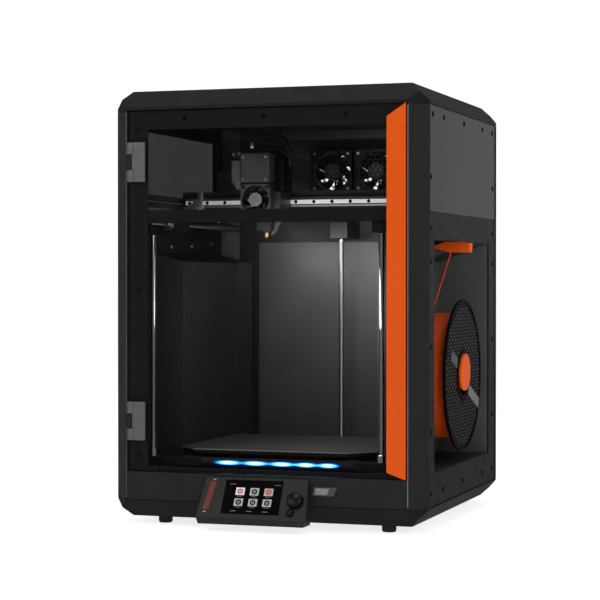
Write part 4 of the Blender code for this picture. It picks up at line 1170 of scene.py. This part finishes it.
def screen_unit():
    refined("screen_housing", MOULDED, 1.6, 4, 30.0)
    refined("touchscreen", GLASS_BLACK, 0.3)
    top = -0.5
    icons = [(column, row) for row in (18.3, 32.9) for column in (-27.2, -8.4, 10.3)]
    plates = {word: bmesh.new() for word in ("white", "grey", "dim", "dark", "red")}
    for i, (x, down) in enumerate(icons):
        plate = plates["white" if i == 0 else "grey"]
        face_plate(plate, (x - 5.8, x + 5.8), (down - 5.0, down + 5.0), (top, top + 0.06), 0.02)
        mark = plates["red" if i in (0, 2) else "dark"]
        rings = [(1.9, 0), (3.7, 0), (3.7, 0.06), (1.9, 0.06)]
        ring(mark, rings, on_face(x, down, top + 0.05), FACE_OUT, 24)
        turned(mark, [(1.1, 0), (1.1, 0.06)], on_face(x, down, top + 0.05), FACE_OUT, 16)
        face_plate(plates["dim"], (x - 3.6, x + 3.6), (down + 6.2, down + 7.0), (top, top + 0.05), 0.02)
    for x in (-42, 17):
        face_plate(plates["dim"], (x, x + 8), (8.2, 9.2), (top, top + 0.05), 0.02)
    for x in (-33, -12, 9):
        face_plate(plates["dim"], (x - 3, x + 4), (44.2, 45.4), (top, top + 0.05), 0.02)
    for word, material in (("white", SCREEN_WHITE), ("grey", SCREEN_GREY), ("dim", SCREEN_DIM),
                           ("dark", GLASS_BLACK), ("red", SCREEN_RED)):
        piece(f"screen_marks_{word}", plates[word], "case", material)
    shape = bmesh.new()
    face_plate(shape, (-68.5, -60.5), (6, 44), (-0.2, 0.35), 0.25, -4.5)
    piece("side_strip", shape, "case", RED_STRIP)
    shape = bmesh.new()
    face_plate(shape, (-65.0, -61.5), (3.2, 4.2), (-0.1, 0.15), 0.05)
    face_plate(shape, (-71.5, -68.0), (46.6, 47.6), (-0.1, 0.15), 0.05)
    piece("strip_marks", shape, "case", TUBE)
    knob()


def knob():
    """The ribbed control knob, and the reset button in its collar."""
    def grip(angle):
        return 9.7 + 0.28 * math.cos(30 * angle)

    rings = [(9.6, -3.4), (9.8, -2.8), (grip, -2.2), (grip, 5.6), (9.3, 6.8), (8.0, 7.7), (6.2, 7.9),
             (5.4, 7.4), (2.0, 7.2)]
    shape = bmesh.new()
    turned(shape, rings, on_face(middle("control_knob")[0], 29.0), FACE_OUT, 120)
    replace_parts(piece("control_knob_grip", shape, "knob", SMOOTH, 40.0), "control_knob")
    centre = on_face(middle("reset_button")[0], 45.0)
    shape = bmesh.new()
    turned(shape, [(3.8, -3.4), (3.8, 0.8), (3.4, 1.3), (2.4, 1.4), (1.2, 1.1)], centre, FACE_OUT, 40)
    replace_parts(piece("reset_button_cap", shape, "button", SMOOTH), "reset_button")
    shape = bmesh.new()
    ring(shape, [(4.5, -0.3), (6.0, -0.3), (5.8, 0.6), (5.2, 0.9), (4.7, 0.6)], centre, FACE_OUT, 48)
    piece("button_collar", shape, "case", SMOOTH)


def usb_socket():
    """A slanted socket in the lower front panel, drawn as plates on its face: a darker plate as painted shade
    of the recess walls, widest on the right, and the socket within it.
    """
    shape = bmesh.new()
    # Painted shade: the recess walls, widest to the right, as one flat darker plate.
    prism(shape, [(63.4, 46.4), (91.0, 46.2), (96.0, 57.3), (66.0, 56.9)], -0.55, -0.1, "Y", 0.2)
    piece("port_recess_shade_plate", shape, "case", PORT_RECESS_PAINTED_SHADE)
    shape = bmesh.new()
    prism(shape, [(66.2, 48.0), (82.6, 47.8), (86.0, 55.8), (68.2, 55.6)], -0.75, -0.5, "Y", 0.1)
    piece("port_socket", shape, "case", PORT_METAL)


# Spool ----------------------------------------------------------------------------------------
def spool():
    x0, x1 = limits("filament_spool")[0]
    _, y, z = middle("filament_spool")
    outer, bore, core = 100.0, 27.0, 31.0
    width, thick, rim, rib = x1 - x0, 4.0, 3.0, 1.2
    rings = [(bore, 0), (bore, width), (bore + 5, width), (bore + 5.4, width - rib),
             (outer - rim, width - rib), (outer - rim, width), (outer - 0.5, width), (outer, width - 0.6),
             (outer, width - thick + 0.6),
             (outer - 0.6, width - thick), (core, width - thick), (core, thick), (outer - 0.6, thick),
             (outer, thick - 0.6), (outer, 0.6), (outer - 0.5, 0), (outer - rim, 0), (outer - rim, rib),
             (bore + 5.4, rib), (bore + 5, 0)]
    shape = bmesh.new()
    ring(shape, rings, at(x0, y, z), (1, 0, 0), 128)
    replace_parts(piece("spool_flanges", shape, "spool", FLANGE), "filament_spool")
    shape = bmesh.new()
    slots_in_flange(shape, at(x1 - rib - 0.2, y, z), outer - rim - 1.5, bore + 7.0)
    piece("spool_slots", shape, "spool", SLOT_FLOOR)
    gauge("front", -55.0, 4.0, 34.0, GREY_PLASTIC, at(x1 - 0.5, y, z))
    gauge("rear", 65.0, -8.7, 60.0, LIGHT_PLASTIC, at(x1 - 0.5, y, z))
    filament(core + 0.3, y, z)
    holder(y)
    guide()


def gauge(word, along, up, length, material, centre):
    """A bar across the spool's outer face, on a line at a slant through the spool's middle."""
    shape = bmesh.new()
    verts = bmesh.ops.create_cube(shape, size=1.0)["verts"]
    bmesh.ops.scale(shape, vec=Vector((1.0, length, 14.0)) * MM, verts=verts)
    bmesh.ops.translate(shape, vec=Vector((0, along, up)) * MM, verts=verts)
    bmesh.ops.rotate(shape, matrix=Matrix.Rotation(math.radians(-20.5), 3, "X"), verts=verts)
    bmesh.ops.translate(shape, vec=centre, verts=verts)
    bevelled(shape, shape.edges[:], 0.2, 1)
    piece(f"spool_gauge_{word}", shape, "spool", material)


def filament(inner, y, z):
    """The winding, with its outer turns side by side."""
    x0, x1 = limits("filament_winding")[0]
    turns, radius = 32, 82.4
    pitch = (x1 - x0) / turns
    rings = [(inner, 0.0)]
    for i in range(turns):
        for t in (0.08, 0.3, 0.5, 0.7, 0.92):
            rings.append((radius - 0.9 + 0.9 * math.sin(math.pi * t), (i + t) * pitch))
    rings.append((inner, x1 - x0))
    shape = bmesh.new()
    ring(shape, rings, at(x0, y, z), (1, 0, 0), 128)
    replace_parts(piece("filament_turns", shape, "spool", FILAMENT, 80.0), "filament_winding")


def slots_in_flange(shape, centre, outer, inner, along=16.0, up=4.4, size=(9.0, 2.4)):
    """Staggered rows of round-ended slots between two radii, on a plane across X."""
    rows, columns = int(outer / up) + 1, int(outer / along) + 2
    half, radius = (size[0] - size[1]) / 2, size[1] / 2
    for row in range(-rows, rows + 1):
        for column in range(-columns, columns + 1):
            y, z = (column + 0.5 * (row % 2)) * along, row * up
            if not inner + half < math.hypot(y, z) < outer - half:
                continue
            outline = []
            for side in (1, -1):
                for step in range(5):
                    angle = side * math.pi / 2 - math.pi / 4 * step
                    outline.append((y + side * half + radius * math.cos(angle), z + radius * math.sin(angle)))
            loops = [[shape.verts.new(centre + Vector((out, a, b)) * MM) for a, b in outline]
                     for out in (0.0, 0.5)]
            shape.faces.new(loops[0])
            shape.faces.new(loops[1])
            joined(shape, loops)


def holder(y):
    (x0, x1), _, (z0, z1) = limits("spool_holder")
    long = x1 - x0
    rings = [(21.4, 0), (22.0, 0.6), (22.0, long - 4.8), (23.8, long - 4.4), (24.4, long - 3.6),
             (24.4, long - 1.2), (23.4, long - 0.2), (21, long)]
    shape = bmesh.new()
    turned(shape, rings, at(x0, y, (z0 + z1) / 2), (1, 0, 0), 72)
    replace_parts(piece("spool_holder_turned", shape, "case", PRINTED), "spool_holder")


def guide():
    refined("filament_guide", PRINTED, 0.6)
    strand = frame["nodes"]["filament_strand"].data.materials
    strand.clear()
    strand.append(FILAMENT)


def feet():
    for node in [name for name in frame["nodes"] if name.startswith("foot_")]:
        x, y, _ = middle(node)
        high = limits(node)[2][1]
        rings = [(2.4, 2.0), (3.0, 0.0), (7.6, 0.0), (8.6, 1.0), (9.0, 2.6), (9.0, high - 0.4), (8.6, high)]
        shape = bmesh.new()
        turned(shape, rings, at(x, y, 0), steps=48)
        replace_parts(piece(f"{node}_moulded", shape, "case", RUBBER), node)


# Stage, light and camera ----------------------------------------------------------------------
def stage():
    floor = bmesh.new()
    bmesh.ops.create_grid(floor, x_segments=2, y_segments=2, size=40.0)
    mesh = bpy.data.meshes.new("floor")
    floor.to_mesh(mesh)
    floor.free()
    ground = placed("floor", mesh)
    paper = Finish("pale_floor", roughness=0.9)
    paper.colour(paper.blend(paper.noise(1.2, 2.0), grey(0.93), grey(0.95)))
    shine = paper.blend(paper.noise(1.2, 2.0), grey(0.98), grey(1.0))
    paper.put(paper.shader.inputs["Emission Color"], shine)
    paper.shader.inputs["Emission Strength"].default_value = 0.80
    mesh.materials.append(paper.material)
    ground.visible_glossy = False

    world = bpy.data.worlds.new("studio")
    world.use_nodes = True
    tree = world.node_tree
    seen = tree.nodes.new("ShaderNodeLightPath")
    strength = tree.nodes.new("ShaderNodeMapRange")
    strength.inputs["To Min"].default_value = 0.22
    strength.inputs["To Max"].default_value = 1.05
    tree.links.new(seen.outputs["Is Camera Ray"], strength.inputs["Value"])
    tree.links.new(strength.outputs["Result"], tree.nodes["Background"].inputs["Strength"])
    tree.nodes["Background"].inputs["Color"].default_value = (1, 1, 1, 1)
    bpy.context.scene.world = world
    bpy.context.scene.view_settings.view_transform = "Standard"

    for name, place, aim, size, power in (
        ("overhead", (0.2, -0.3, 2.6), (0, 0, 0), (3.2, 3.2), 20.0),
        ("front_left", (-1.8, -2.6, 1.6), (0, 0, 0.25), (1.2, 1.2), 10.0),
        ("front_right", (1.5, -1.9, 0.9), (0.18, 0, 0.2), (0.9, 0.9), 9.0),
        ("window_glint", (0.47, 0.95, 0.45), (0.47, 0, 0.45), (0.4, 0.5), 0.12),
        ("chamber_lamp", at(20, 300, 368), at(40, DEPTH - 4, 330), (0.28, 0.02), 0.30),
        ("chamber_front", at(30, 24, 300), at(20, DEPTH, 170), (0.20, 0.10), 0.45),
        ("chamber_top", at(50, 170, 520), at(90, DEPTH, 500), (0.2, 0.03), 0.11),
    ):
        data = bpy.data.lights.new(name, "AREA")
        data.shape = "RECTANGLE"
        data.size, data.size_y = size
        data.energy = power
        lamp = placed(name, data)
        lamp.location = place
        lamp.rotation_euler = (Vector(aim) - Vector(place)).to_track_quat("-Z", "Y").to_euler()
        lamp.visible_camera = False


def camera():
    """The viewpoint: to the right of the door, turned 18.5 degrees towards it and almost level."""
    data = bpy.data.cameras.new("camera")
    data.lens = 114.5
    data.sensor_width = 36.0
    eye = placed("camera", data)
    eye.location = at(795.5, -2240.2, 313.8)
    eye.rotation_euler = (math.pi / 2 - 0.01078, 0.0, 0.32218)
    bpy.context.scene.camera = eye


shell()
edge_lines()
side_screws()
front_screws()
lid_screws()
back()
door()
smooth_rods()
lead_screws()
steppers()
bed()
chamber_details()
gantry()
print_head()
rear_fans()
power_and_board()
screen_unit()
usb_socket()
spool()
feet()
stage()
camera()
